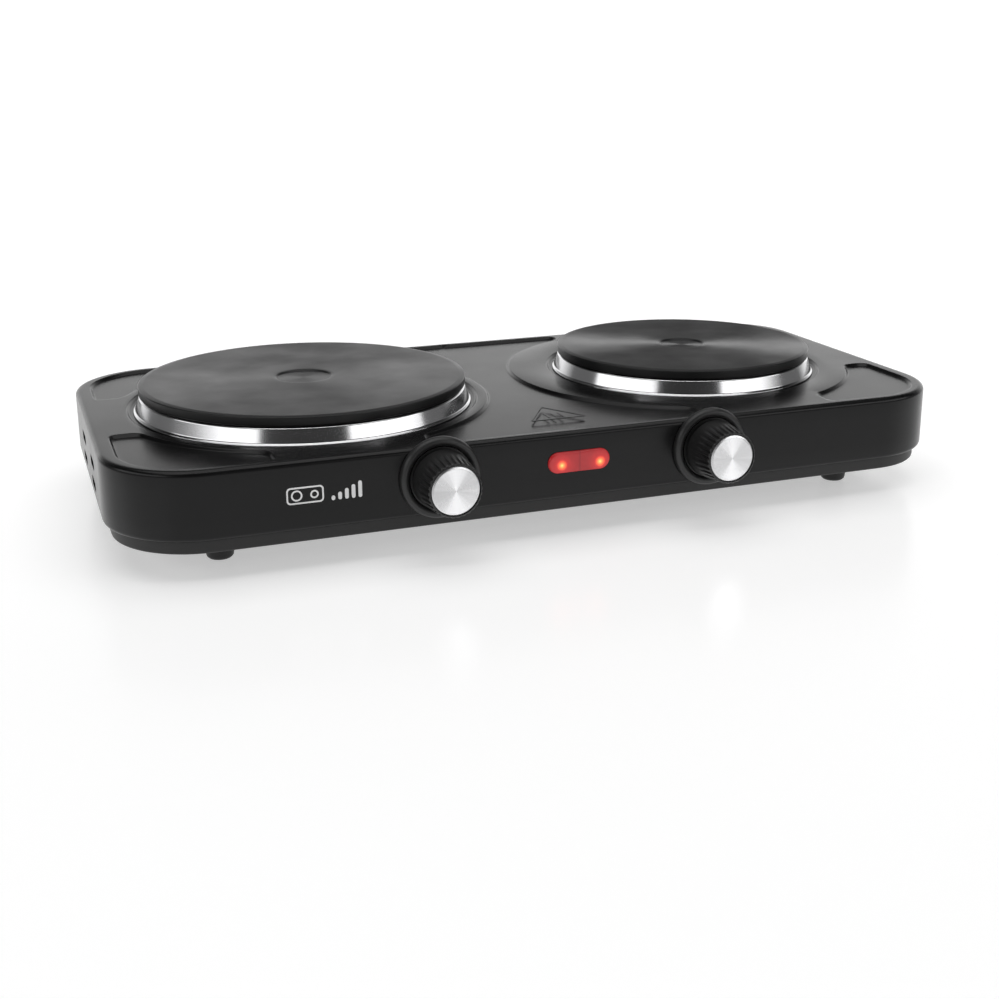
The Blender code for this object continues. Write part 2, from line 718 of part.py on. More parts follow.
def make_spindle(side, frame):
    """The spindle: round in the bush, with a flat along the stretch that the knob is pushed on to."""
    label = f"{side}_spindle"
    foot = -SHEET - GAP - 0.0042
    mesh = cylinder_mesh(label, SPINDLE_RADIUS, foot, SPINDLE_OUT, segments=24)
    spindle = place(label, mesh, frame, finish="zinc_steel")
    flat = label + "_flat"
    low = (-0.01, SPINDLE_FLAT, BUSH_OUT + 0.0010)
    boolean(spindle, place(flat, block_mesh(flat, low, (0.01, 0.01, 0.05)), frame))


def make_knob(side, frame):
    """A tapered knob with fine ribs, hollow behind round a hub. The hub's bore follows the spindle and its flat."""
    label = f"{side}_knob"
    mesh = cylinder_mesh(
        label, KNOB_BASE_RADIUS, KNOB_BASE, KNOB_FRONT, segments=2 * KNOB_RIBS, end_radius=KNOB_FRONT_RADIUS
    )
    for vertex in mesh.vertices:
        turn = math.atan2(vertex.co.y, vertex.co.x) / (2 * math.pi) * 2 * KNOB_RIBS
        if round(turn) % 2:
            reach = math.hypot(vertex.co.x, vertex.co.y)
            vertex.co.xy *= (reach - KNOB_RIB_DEPTH) / reach
    knob = place(label, mesh, frame, finish="knob_plastic")
    outer = KNOB_FRONT_RADIUS - KNOB_WALL
    hollow = [
        (outer, KNOB_FRONT - 0.0045),
        (KNOB_BASE_RADIUS - KNOB_WALL, KNOB_BASE - 0.001),
        (KNOB_HUB, KNOB_BASE - 0.001),
        (KNOB_HUB, KNOB_FRONT - 0.0045),
    ]
    boolean(knob, turned(label + "_hollow", hollow, frame, steps=20))
    seat = label + "_cap_seat"
    depth = CAP_THICK - CAP_PROUD + GAP
    mesh = cylinder_mesh(seat, CAP_RADIUS + 0.0002, KNOB_FRONT - depth, KNOB_FRONT + 0.01, segments=32)
    boolean(knob, place(seat, mesh, frame))
    make_knob_bore(side, frame, knob)


def make_knob_bore(side, frame, knob):
    """The bore is round with a flat roof, which leaves room for the leaf spring between it and the spindle's flat."""
    label = f"{side}_knob_bore"
    roof = SPINDLE_FLAT + 0.0011
    mesh = cylinder_mesh(label, SPINDLE_RADIUS + 0.0002, KNOB_BASE - 0.002, SPINDLE_OUT + GAP, segments=24)
    bore = place(label, mesh, frame)
    trim = label + "_roof"
    boolean(bore, place(trim, block_mesh(trim, (-0.01, roof, -0.01), (0.01, 0.01, 0.05)), frame))
    boolean(knob, bore)
    spring = f"{side}_knob_spring"
    low = (-0.0014, SPINDLE_FLAT + GAP, KNOB_BASE + 0.001)
    high = (0.0014, roof - GAP, SPINDLE_OUT - 0.001)
    place(spring, block_mesh(spring, low, high), frame, finish="stainless")


def make_knob_cap(side, frame):
    z1 = KNOB_REACH
    profile = [
        (0.0, z1 - 0.0001),
        (CAP_RADIUS - 0.0005, z1),
        (CAP_RADIUS, z1 - 0.0004),
        (CAP_RADIUS, z1 - CAP_THICK),
        (0.0, z1 - CAP_THICK),
    ]
    turned(f"{side}_knob_cap", profile, frame, finish="spun_aluminium", steps=32, closed=False)


def make_setting_pin(side, frame):
    """The ceramic pin that the spindle's screw pushes back towards the contact arm."""
    top = -SHEET - GAP - 0.0045 - GAP
    label = f"{side}_setting_pin"
    place(label, cylinder_mesh(label, PIN_RADIUS, top - PIN_LENGTH, top, segments=12), frame, finish="ceramic")


def make_contact_arm(side, frame):
    """The switch's contact arm, which turns about its riveted end as the pin presses on its middle."""
    label = f"{side}_contact_arm"
    top = -SHEET - GAP - 0.0045 - GAP - PIN_LENGTH - GAP
    half = ARM_HEIGHT / 2
    low = (-ARM_PIVOT_X - 0.001, -half, top - ARM_THICK)
    high = (ARM_PIVOT_X + 0.0005, half, top)
    place(label, block_mesh(label, low, high, 0.0005, 1), frame, finish="brass")


# ---------------------------------------------------------------- indicator, mains entry and wiring


def make_indicator():
    """One red lens over two neon lamps, in a holder behind the front wall."""
    mesh = outline_mesh("indicator_lens", slot_outline(LENS_LENGTH, LENS_HEIGHT, 8), LENS_PROUD)
    lens = place("indicator_lens", mesh, case, (0, FRONT_Y - GAP - LENS_PROUD / 2, LENS_Z), "red_lens")
    lens.rotation_euler = (math.pi / 2, 0, 0)
    plug = outline_mesh("lens_plug", slot_outline(LENS_LENGTH - 0.003, LENS_HEIGHT - 0.003, 8), LENS_DEEP)
    back = place("lens_plug", plug, case, (0, FRONT_Y - LENS_PROUD + LENS_DEEP / 2, LENS_Z))
    back.rotation_euler = (math.pi / 2, 0, 0)
    boolean(lens, back, "UNION")
    lamp_front = FRONT_Y - LENS_PROUD + LENS_DEEP + GAP
    for side, s in SIDES:
        label = f"{side}_neon_lamp"
        profile = [(LAMP_RADIUS * math.sin(a), -LAMP_RADIUS + LAMP_RADIUS * math.cos(a)) for a in dome_angles(3)]
        profile += [(LAMP_RADIUS, -LAMP_LENGTH), (0.0, -LAMP_LENGTH)]
        lamp = turned(label, profile, case, (s * LAMP_X, lamp_front, LENS_Z), "lamp_glass", 12, closed=False)
        lamp.rotation_euler = (math.pi / 2, 0, 0)
    low = (-0.021, lamp_front + 0.0012, LENS_Z - 0.0075)
    high = (0.021, lamp_front + 0.0090, LENS_Z + 0.0075)
    holder = place("lamp_holder", block_mesh("lamp_holder", low, high), case, finish="holder_plastic")
    for side, s in SIDES:
        label = f"{side}_lamp_socket"
        mesh = cylinder_mesh(label, LAMP_RADIUS + GAP, -0.03, 0.03, segments=12)
        socket = place(label, mesh, case, (s * LAMP_X, lamp_front, LENS_Z))
        socket.rotation_euler = (math.pi / 2, 0, 0)
        boolean(holder, socket)


def dome_angles(steps):
    return [math.pi / 2 * i / steps for i in range(steps + 1)]


def make_mains_entry():
    """The gland in the back wall, its clamp bar, the mains terminal block and the earth screw."""
    out = GLAND_OUT
    profile = [
        (GLAND_BORE, out),
        (GLAND_NECK - 0.0004, out),
        (GLAND_NECK, out - 0.0010),
        (GLAND_FLANGE - 0.0010, 0.0030),
        (GLAND_FLANGE, 0.0022),
        (GLAND_FLANGE, GAP),
        (GLAND_NECK, GAP),
        (GLAND_NECK, -0.0100),
        (GLAND_BORE, -0.0100),
    ]
    gland = turned("cord_gland", profile, case, (GLAND_X, BACK_Y, GLAND_Z), "rubber", 16)
    gland.rotation_euler = (-math.pi / 2, 0, 0)
    y = BACK_Y - 0.022
    floor = FOOT_HEIGHT + SHEET + GAP
    low, high = (GLAND_X - 0.013, y - 0.004, floor), (GLAND_X + 0.013, y + 0.004, GLAND_Z + 0.009)
    clamp = place("cord_clamp", block_mesh("cord_clamp", low, high, 0.001, 1), case, finish="terminal_plastic")
    mesh = cylinder_mesh("clamp_bore", GLAND_BORE, -0.02, 0.02, segments=16)
    bore = place("clamp_bore", mesh, case, (GLAND_X, y, GLAND_Z))
    bore.rotation_euler = (math.pi / 2, 0, 0)
    boolean(clamp, bore)
    low, high = (-0.020, MAINS_Y - 0.008, floor), (0.020, MAINS_Y + 0.008, floor + 0.016)
    block = place("mains_terminal", block_mesh("mains_terminal", low, high, 0.0015, 2), case, finish="terminal_plastic")
    for i, x in enumerate(MAINS_X):
        label = f"mains_hole_{i}"
        hole = place(label, cylinder_mesh(label, 0.0029, -0.02, 0.02, segments=12), case, (x, MAINS_Y, MAINS_HOLE_Z))
        hole.rotation_euler = (math.pi / 2, 0, 0)
        boolean(block, hole)
    head = FOOT_HEIGHT + SHEET + GAP
    profile = [(0.0, head + 0.0028), (0.0030, head + 0.0026), (0.0038, head + 0.0012), (0.0038, head), (0.0, head)]
    turned("earth_screw", profile, case, (EARTH_X, EARTH_Y, 0.0), "brass", 12, closed=False)


def make_wiring():
    """Glass-sleeved leads, each from one terminal to the next, laid low in the pan clear of the plates."""
    low_z = FOOT_HEIGHT + SHEET + 0.0030
    terminal_z = COVER_Z - SHEET - 0.0010 - GAP - TERMINAL_SIZE[2] / 2
    stat_y = FRONT_Y + SHEET + THERMOSTAT_DEPTH + 0.0035
    for side, s, plate_x in (("left", -1, PLATES[0][2]), ("right", 1, PLATES[1][2])):
        x = s * CONTROL_X
        supply = [
            *mains_end(MAINS_X[0], s, -0.003),
            (MAINS_X[0] + s * 0.010, 0.050, low_z + 0.001),
            (s * 0.040, 0.010, low_z),
            (s * 0.052, -0.040, low_z),
            (x - s * 0.008, stat_y + 0.010, low_z + 0.004),
            (x - s * 0.008, stat_y, CONTROL_Z - 0.008),
        ]
        wire(f"{side}_supply_lead", supply)
        load = [
            (x + s * 0.008, stat_y, CONTROL_Z - 0.006),
            (x + s * 0.010, stat_y + 0.010, low_z + 0.010),
            (x + s * 0.022, -0.040, low_z + 0.002),
            (plate_x - s * 0.008, -0.010, low_z + 0.004),
            (plate_x - s * 0.007, 0.018, low_z + 0.016),
            (plate_x - s * 0.006, TERMINAL_Y - TERMINAL_SIZE[1] / 2 - 0.006, terminal_z),
            (plate_x - s * 0.006, TERMINAL_Y - TERMINAL_SIZE[1] / 2 + 0.003, terminal_z),
        ]
        wire(f"{side}_plate_lead", load)
        neutral = [
            *mains_end(MAINS_X[1], s, 0.003),
            (s * 0.022, 0.058, low_z + 0.008),
            (plate_x - s * 0.050, 0.070, low_z + 0.008),
            (plate_x - s * 0.004, 0.066, low_z + 0.018),
            (plate_x + s * 0.006, TERMINAL_Y + TERMINAL_SIZE[1] / 2 + 0.006, terminal_z),
            (plate_x + s * 0.006, TERMINAL_Y + TERMINAL_SIZE[1] / 2 - 0.003, terminal_z),
        ]
        wire(f"{side}_neutral_lead", neutral)
    earth = [
        *mains_end(MAINS_X[2], 0, -0.004),
        (0.030, 0.067, low_z),
        (0.070, 0.070, low_z),
        (EARTH_X - 0.006, EARTH_Y - 0.006, low_z),
        (EARTH_X - 0.0035, EARTH_Y - 0.0035, low_z - 0.0012),
    ]
    wire("earth_lead", earth)


def mains_end(x, side, rise):
    """The start of a lead: in the block's hole, straight out in front of it, then off to its own side and level."""
    spot = x + side * 0.0014
    return [
        (spot, MAINS_Y - 0.0045, MAINS_HOLE_Z),
        (spot, MAINS_Y - 0.0120, MAINS_HOLE_Z),
        (spot + side * 0.0030, MAINS_Y - 0.0170, MAINS_HOLE_Z + rise),
    ]


# ---------------------------------------------------------------- assembly

clear_scene()
parts = make_collection("double_hot_plate")
cutters = make_collection("cutters")
case = make_empty("case_centre", (0.0, CASE_Y, 0.0))
controls = {
    side: make_empty(f"{side}_control", (s * CONTROL_X, FRONT_Y, CONTROL_Z), (math.pi / 2, 0.0, 0.0), case)
    for side, s in SIDES
}
make_top_shell()
make_base_pan()
make_feet()
for plate_name, plate_radius, plate_x, plate_dimple in PLATES:
    make_cooking_plate(plate_name, plate_radius, plate_x, plate_dimple)
for control_side, _ in SIDES:
    make_control(control_side)
make_indicator()
make_mains_entry()
make_wiring()
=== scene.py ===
"""Looks of a portable double hot plate: a satin black pressed case, cast plates in bright rings, two ribbed knobs.

Everything is in metres, +Z up, with the front wall and its knobs facing -Y. The shapes that show are fine surfaces
worked out with numpy; each stands for the plainer solid of the same name, and rides on that solid's body.
"""

import json
import logging
import math
from dataclasses import dataclass, field
from enum import Enum
from typing import Sequence

import bmesh
import bpy
import numpy as np
from mathutils import Matrix, Vector

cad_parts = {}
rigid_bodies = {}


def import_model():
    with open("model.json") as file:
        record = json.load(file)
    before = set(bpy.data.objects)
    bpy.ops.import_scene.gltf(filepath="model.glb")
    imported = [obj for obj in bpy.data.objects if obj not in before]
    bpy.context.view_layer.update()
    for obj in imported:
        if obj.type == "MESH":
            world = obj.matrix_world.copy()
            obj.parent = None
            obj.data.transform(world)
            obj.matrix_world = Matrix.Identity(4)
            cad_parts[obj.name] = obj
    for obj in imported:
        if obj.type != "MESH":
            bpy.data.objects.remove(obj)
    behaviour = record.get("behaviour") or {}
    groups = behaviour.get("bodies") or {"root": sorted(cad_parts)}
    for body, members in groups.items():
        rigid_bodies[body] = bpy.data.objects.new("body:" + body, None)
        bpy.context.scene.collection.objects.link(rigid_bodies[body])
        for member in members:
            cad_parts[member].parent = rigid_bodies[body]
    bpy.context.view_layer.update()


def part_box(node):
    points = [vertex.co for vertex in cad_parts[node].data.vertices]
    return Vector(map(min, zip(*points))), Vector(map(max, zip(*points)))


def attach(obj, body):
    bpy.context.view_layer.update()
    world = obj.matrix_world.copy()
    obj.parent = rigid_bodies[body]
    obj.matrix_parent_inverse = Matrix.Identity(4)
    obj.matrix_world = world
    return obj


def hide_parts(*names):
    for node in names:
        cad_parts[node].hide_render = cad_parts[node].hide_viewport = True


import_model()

Array = np.ndarray
Socket = bpy.types.NodeSocket
LOG = logging.getLogger("hot_plate")
TAU = 2 * math.pi


# ---------------------------------------------------------------- finishes


class Graph:
    """A material's node tree, with short ways to add and join its nodes."""

    def __init__(self, name: str) -> None:
        """Starts a material with a Principled shader."""
        self.material = bpy.data.materials.new(name)
        self.material.use_nodes = True
        self.tree = self.material.node_tree
        self.shader = self.tree.nodes["Principled BSDF"]
        self.coordinates = self.tree.nodes.new("ShaderNodeTexCoord")

    def add(self, kind: str, inputs: dict | None = None, **settings: object) -> bpy.types.Node:
        """Adds a node.

        Args:
            kind: The node's type, without its ShaderNode prefix.
            inputs: Socket name or number to a value, or to an output socket to join.
            settings: The node's own properties.

        Returns:
            The new node.
        """
        node = self.tree.nodes.new("ShaderNode" + kind)
        for key, value in settings.items():
            setattr(node, key, value)
        for key, value in (inputs or {}).items():
            self.feed(node.inputs[key], value)
        return node

    def feed(self, socket: Socket, value: object) -> None:
        """Joins an output to a socket, or sets the socket's own value.

        Args:
            socket: The input to feed.
            value: An output socket, or a plain value.
        """
        if isinstance(value, Socket):
            self.tree.links.new(value, socket)
        else:
            socket.default_value = value

    def surface(self, name: str, value: object) -> None:
        """Feeds one of the shader's own inputs."""
        self.feed(self.shader.inputs[name], value)

    def math(self, operation: str, *values: object) -> Socket:
        """The result of a Math node on one to three values."""
        node = self.add("Math", dict(enumerate(values)), operation=operation)
        return node.outputs[0]

    def noise(self, scale: float, detail: float = 3.0, place: Socket | None = None) -> Socket:
        """Noise on Object coordinates, or on those given, with scale features a metre."""
        vector = place or self.coordinates.outputs["Object"]
        return self.add("TexNoise", {"Vector": vector, "Scale": scale, "Detail": detail}).outputs["Fac"]

    def spread(self, value: Socket, low: float, high: float, start: float = 0.3, end: float = 0.7) -> Socket:
        """Maps a value that runs from start to end on to low to high, and holds it there."""
        node = self.add("MapRange", {"Value": value, "From Min": start, "From Max": end, "To Min": low, "To Max": high})
        return node.outputs["Result"]

    def tint(self, factor: Socket, low: Sequence[float], high: Sequence[float]) -> Socket:
        """A colour between two.

        Args:
            factor: 0 for the first colour, 1 for the second.
            low: The first colour.
            high: The second colour.

        Returns:
            The mixed colour.
        """
        node = self.add("Mix", data_type="RGBA")
        self.feed(node.inputs["Factor"], factor)
        self.feed(node.inputs["A"], (*low, 1.0))
        self.feed(node.inputs["B"], (*high, 1.0))
        return node.outputs["Result"]

    def bump(self, height: Socket, depth: float) -> None:
        """Bumps the surface by a height from 0 to 1, depth metres deep."""
        node = self.add("Bump", {"Height": height, "Strength": 1.0, "Distance": depth})
        self.surface("Normal", node.outputs["Normal"])

    def around(self, centre: Sequence[float]) -> tuple[Socket, Socket]:
        """Object coordinates about a centre.

        Args:
            centre: The centre.

        Returns:
            The place as a vector, and its distance from the centre in metres.
        """
        shifted = self.add("Mapping", {"Vector": self.coordinates.outputs["Object"], "Location": [-v for v in centre]})
        length = self.add("VectorMath", {0: shifted.outputs[0]}, operation="LENGTH")
        return shifted.outputs[0], length.outputs["Value"]


def shade(colour: Sequence[float], factor: float) -> tuple[float, ...]:
    """A colour made lighter or darker by a factor."""
    return tuple(min(1.0, c * factor) for c in colour)


@dataclass(frozen=True)
class Coat:
    """Paint, moulded plastic, rubber or glaze: an even colour with a fine grain and slightly uneven gloss."""

    name: str
    colour: tuple[float, float, float]
    roughness: float = 0.4
    metallic: float = 0.0
    specular: float = 0.5
    grain: float = 900.0
    grain_depth: float = 0.00002
    patch: float = 25.0

    def material(self) -> bpy.types.Material:
        """The finish as a node material, made once.

        Returns:
            The material.
        """
        found = bpy.data.materials.get(self.name)
        if found:
            return found
        graph = Graph(self.name)
        patches = graph.noise(self.patch, 4.0)
        factor = graph.spread(patches, 0.0, 1.0)
        low, high = shade(self.colour, 0.86), shade(self.colour, 1.14)
        graph.surface("Base Color", graph.tint(factor, low, high))
        graph.surface("Roughness", graph.spread(patches, self.roughness * 0.93, self.roughness * 1.07))
        graph.surface("Metallic", self.metallic)
        graph.surface("Specular IOR Level", self.specular)
        graph.bump(graph.noise(self.grain, 2.0), self.grain_depth)
        return graph.material


@dataclass(frozen=True)
class SpunMetal:
    """Metal turned or brushed round an axis: rings about a centre, a gloss that streaks across them, and optional
    highlight wedges painted into its colour.
    """

    name: str
    colour: tuple[float, float, float]
    centre: tuple[float, float, float]
    roughness: float = 0.25
    metallic: float = 1.0
    streak: float = 0.7
    pitch: float = 0.0008
    depth: float = 0.000004
    contrast: float = 0.08
    specular: float = 0.5
    # Strength of the highlight wedges painted into the colour; 0 paints none.
    highlight_wedges: float = 0.0
    turn: float = 0.25

    def material(self) -> bpy.types.Material:
        """The finish as a node material, made once.

        Returns:
            The material.
        """
        found = bpy.data.materials.get(self.name)
        if found:
            return found
        graph = Graph(self.name)
        vector, distance = graph.around(self.centre)
        wobble = graph.noise(14.0, 2.0)
        rings_at = graph.math("ADD", graph.math("DIVIDE", distance, self.pitch), wobble)
        line = graph.add("CombineXYZ", {"X": rings_at}).outputs[0]
        rings = graph.add("TexNoise", {"Vector": line, "Scale": 1.0, "Detail": 4.0, "Roughness": 0.7}).outputs["Fac"]
        factor = graph.spread(rings, 0.0, 1.0)
        # Paints highlight wedges and streaks into the colour when asked.
        if self.highlight_wedges:
            factor = self.add_highlight_wedges(graph, vector, factor)
        low, high = shade(self.colour, 1 - self.contrast), shade(self.colour, 1 + self.contrast)
        graph.surface("Base Color", graph.tint(factor, low, high))
        smudge = graph.noise(40.0, 4.0)
        graph.surface("Roughness", graph.spread(smudge, self.roughness * 0.9, self.roughness * 1.12))
        graph.surface("Metallic", self.metallic)
        graph.surface("Specular IOR Level", self.specular)
        graph.surface("Anisotropic", self.streak)
        graph.surface("Anisotropic Rotation", self.turn)
        tangent = graph.add("Tangent", direction_type="UV_MAP", uv_map="round")
        graph.surface("Tangent", tangent.outputs[0])
        graph.bump(rings, self.depth)
        return graph.material

    def add_highlight_wedges(self, graph: Graph, vector: Socket, factor: Socket) -> Socket:
        """Paints highlights into the colour: faint bright wedges above and below the middle and fine radial streaks, as
        a lit spun face shows them, about an axis along Y.

        Args:
            graph: The material's tree.
            vector: The place about the disc's centre.
            factor: The ring pattern so far.

        Returns:
            The pattern with the painted highlight wedges.
        """
        split = graph.add("SeparateXYZ", {0: vector})
        angle = graph.math("ARCTAN2", split.outputs["X"], split.outputs["Z"])
        # Bright wedges above and below the middle, and streaks round it: a painted highlight.
        wedge = graph.math("ABSOLUTE", graph.math("COSINE", angle))
        fine = graph.add("CombineXYZ", {"X": graph.math("MULTIPLY", angle, 2.2)}).outputs[0]
        streaks = graph.add("TexNoise", {"Vector": fine, "Scale": 1.6, "Detail": 2.0}).outputs["Fac"]
        wedges = graph.math("MULTIPLY", graph.math("POWER", wedge, 5.0), self.highlight_wedges)
        painted_highlight = graph.math("ADD", wedges, graph.math("MULTIPLY", graph.math("SUBTRACT", streaks, 0.5), self.highlight_wedges))
        return graph.math("ADD", graph.math("MULTIPLY", factor, 0.35), painted_highlight)


@dataclass(frozen=True)
class LitPlastic:
    """Clear coloured plastic or glass with light behind it."""

    name: str
    colour: tuple[float, float, float]
    glow: tuple[float, float, float]
    strength: float
    transmission: float = 0.5
    roughness: float = 0.12
    ior: float = 1.49
    ripple: float = 0.00004

    def material(self) -> bpy.types.Material:
        """The finish as a node material, made once.

        Returns:
            The material.
        """
        found = bpy.data.materials.get(self.name)
        if found:
            return found
        graph = Graph(self.name)
        factor = graph.spread(graph.noise(260.0, 3.0), 0.0, 1.0)
        graph.surface("Base Color", graph.tint(factor, shade(self.colour, 0.85), shade(self.colour, 1.15)))
        graph.surface("Roughness", self.roughness)
        graph.surface("IOR", self.ior)
        graph.surface("Transmission Weight", self.transmission)
        glow = graph.tint(factor, shade(self.glow, 0.8), self.glow)
        graph.surface("Emission Color", glow)
        graph.surface("Emission Strength", self.strength)
        graph.bump(graph.noise(420.0, 2.0), self.ripple)
        return graph.material


@dataclass(frozen=True)
class LampLens:
    """A tinted lens with the lamps' light painted on as glow: a warm core over each, fading to red, dim on the line
    between them.
    """

    name: str
    colour: tuple[float, float, float]
    core: tuple[float, float, float]
    halo: tuple[float, float, float]
    lamps: tuple[tuple[float, float], ...]
    core_reach: float = 0.0034
    halo_reach: float = 0.0085
    core_strength: float = 1.5
    halo_strength: float = 0.42
    base_strength: float = 0.10
    transmission: float = 0.06
    roughness: float = 0.16

    def material(self) -> bpy.types.Material:
        """The finish as a node material, made once.

        Returns:
            The material.
        """
        found = bpy.data.materials.get(self.name)
        if found:
            return found
        graph = Graph(self.name)
        place = graph.add("SeparateXYZ", {0: graph.coordinates.outputs["Object"]}).outputs
        near = self.nearest(graph, place["X"], place["Z"])
        core = graph.math("POWER", graph.spread(near, 1.0, 0.0, 0.0, self.core_reach), 1.4)
        halo = graph.math("POWER", graph.spread(near, 1.0, 0.0, 0.0, self.halo_reach), 1.6)
        grain = graph.spread(graph.noise(320.0, 3.0), 0.85, 1.1)
        split = graph.spread(graph.math("ABSOLUTE", place["X"]), 0.15, 1.0, 0.0003, 0.0008)
        bright = graph.math("MULTIPLY_ADD", core, self.core_strength, self.base_strength)
        bright = graph.math("MULTIPLY_ADD", halo, self.halo_strength, bright)
        graph.surface("Base Color", graph.tint(grain, shade(self.colour, 0.8), self.colour))
        graph.surface("Roughness", self.roughness)
        graph.surface("Transmission Weight", self.transmission)
        # The lamps' light is painted on the lens as emission, brightest over each lamp and dim on the line between
        # them.
        graph.surface("Emission Color", graph.tint(core, self.halo, self.core))
        glow = graph.math("MULTIPLY", graph.math("MULTIPLY", bright, split), grain)
        graph.surface("Emission Strength", glow)
        graph.bump(graph.noise(420.0, 2.0), 0.00004)
        return graph.material

    def nearest(self, graph: Graph, across: Socket, up: Socket) -> Socket:
        """The distance from the nearest lamp, seen from the front.

        Args:
            graph: The material's tree.
            across: The place along X.
            up: The place along Z.

        Returns:
            The distance in metres.
        """
        near = None
        for x, z in self.lamps:
            square = graph.math("POWER", graph.math("ABSOLUTE", graph.math("SUBTRACT", across, x)), 2.0)
            height = graph.math("SUBTRACT", up, z)
            away = graph.math("SQRT", graph.math("MULTIPLY_ADD", height, height, square))
            near = away if near is None else graph.math("MINIMUM", near, away)
        return near


@dataclass(frozen=True)
class Sleeve:
    """Woven glass sleeve on a lead: fine crossed threads."""

    name: str
    colour: tuple[float, float, float]
    threads: float = 2600.0

    def material(self) -> bpy.types.Material:
        """The finish as a node material, made once.

        Returns:
            The material.
        """
        found = bpy.data.materials.get(self.name)
        if found:
            return found
        graph = Graph(self.name)
        turned = graph.add("Mapping", {"Vector": graph.coordinates.outputs["Object"], "Rotation": (0.6, 0.6, 0.8)})
        weave = graph.add("TexChecker", {"Vector": turned.outputs[0], "Scale": self.threads}).outputs["Fac"]
        soft = graph.math("MULTIPLY", weave, graph.noise(1500.0))
        graph.surface("Base Color", graph.tint(soft, shade(self.colour, 0.8), self.colour))
        graph.surface("Roughness", 0.75)
        graph.bump(soft, 0.00008)
        return graph.material


CASE_PAINT = Coat("case_paint", (0.0050, 0.0050, 0.0052), 0.25, specular=0.25, grain=1100.0, grain_depth=0.000010)
PAN_PAINT = Coat("pan_paint", (0.0060, 0.0060, 0.0062), 0.42, specular=0.10, grain=900.0, grain_depth=0.00002)
RUBBER = Coat("foot_rubber", (0.010, 0.010, 0.010), 0.45, grain=1400.0, grain_depth=0.00004)
KNOB_BLACK = Coat("knob_black", (0.011, 0.011, 0.0112), 0.38, grain=1500.0, grain_depth=0.00003)
BEZEL_BLACK = Coat("bezel_black", (0.016, 0.016, 0.0162), 0.42, grain=1500.0, grain_depth=0.00002)
CERAMIC = Coat("steatite", (0.78, 0.75, 0.68), 0.5, grain=700.0, grain_depth=0.00004)
HOLDER = Coat("holder_moulding", (0.03, 0.03, 0.032), 0.5)
TERMINAL = Coat("terminal_moulding", (0.68, 0.68, 0.62), 0.45)
ZINC = Coat("zinc_plate", (0.56, 0.57, 0.58), 0.32, 1.0, grain=500.0, grain_depth=0.00002, patch=60.0)
BRASS = Coat("plain_brass", (0.70, 0.50, 0.22), 0.28, 1.0, patch=60.0)
SHEATH = Coat("element_sheath", (0.16, 0.13, 0.11), 0.55, 0.9, grain=800.0, grain_depth=0.00005, patch=90.0)
PRINT_WHITE = Coat("print_white", (0.86, 0.86, 0.86), 0.45, grain=1200.0, grain_depth=0.00001)
SPRING_STEEL = Coat("spring_steel", (0.60, 0.60, 0.61), 0.3, 1.0)
SLEEVE = Sleeve("glass_sleeve", (0.72, 0.70, 0.65))
RED_LENS = LampLens(
    "lens_glow", (0.42, 0.020, 0.026), (1.0, 0.48, 0.11), (1.0, 0.035, 0.03), ((-0.0100, 0.0404), (0.0116, 0.0404)),
)
LAMP_GLASS = LitPlastic("neon_glass", (1.0, 0.5, 0.2), (1.0, 0.30, 0.06), 3.0, 0.3)


# ---------------------------------------------------------------- surfaces


@dataclass
class Sheet:
    """A surface on a grid of two parameters: points[i, j] is where parameter values i and j lie."""

    points: Array
    rows_close: bool = False
    columns_close: bool = False

    def quads(self) -> tuple[Array, Array]:
        """The grid's four-sided faces.

        Returns:
            The corners' numbers, one row a face, and the corners' places in the unit square, for the UV map.
        """
        rows, columns = self.points.shape[:2]
        i = np.arange(rows if self.rows_close else rows - 1)
        j = np.arange(columns if self.columns_close else columns - 1)
        i, j = (a.ravel() for a in np.meshgrid(i, j, indexing="ij"))
        corners_i = np.stack([i, i + 1, i + 1, i], axis=1)
        corners_j = np.stack([j, j, j + 1, j + 1], axis=1)
        numbers = (corners_i % rows) * columns + corners_j % columns
        uv = np.stack([corners_i / rows, corners_j / columns], axis=2)
        return numbers, uv

    def moved(self, offset: Sequence[float]) -> "Sheet":
        """The same surface, shifted."""
        return Sheet(self.points + np.asarray(offset), self.rows_close, self.columns_close)


def smooth_step(value: Array) -> Array:
    """0 below 0, 1 above 1, and the cubic 3 t^2 - 2 t^3 between."""
    t = np.clip(value, 0.0, 1.0)
    return t * t * (3 - 2 * t)


def soft_max(a: Array, b: Array, blend: float) -> Array:
    """The larger of two values, with the crease between them rounded over the blend width."""
    near = np.maximum(blend - np.abs(a - b), 0.0) / blend
    return np.maximum(a, b) + near * near * blend / 4


def rounded(corners: Sequence[Sequence[float]], radii: Sequence[float], steps: int = 6, closed: bool = True) -> Array:
    """A profile with each corner replaced by an arc that is tangent to both its sides.

    Args:
        corners: The profile's corners, (across, along).
        radii: Each corner's radius; 0 leaves it sharp.
        steps: Faces to an arc.
        closed: Whether the last corner joins the first.

    Returns:
        The profile's points, one row each.
    """
    points = np.asarray(corners, float)
    count = len(points)
    out = []
    for k in range(count):
        if radii[k] <= 0 or (not closed and k in (0, count - 1)):
            out.append(points[k : k + 1])
            continue
        back, ahead = points[k - 1] - points[k], points[(k + 1) % count] - points[k]
        reach_limit = 0.49 * min(np.linalg.norm(back), np.linalg.norm(ahead))
        back, ahead = back / np.linalg.norm(back), ahead / np.linalg.norm(ahead)
        half = math.acos(float(np.clip(back @ ahead, -1, 1))) / 2
        reach = min(radii[k] / math.tan(half), reach_limit)
        centre = points[k] + (back + ahead) / np.linalg.norm(back + ahead) * reach / math.cos(half)
        start, end = points[k] + back * reach - centre, points[k] + ahead * reach - centre
        swing = math.pi - 2 * half
        t = np.linspace(0, 1, steps + 1)[:, None]
        out.append(centre + (np.sin((1 - t) * swing) * start + np.sin(t * swing) * end) / math.sin(swing))
    return np.vstack(out)


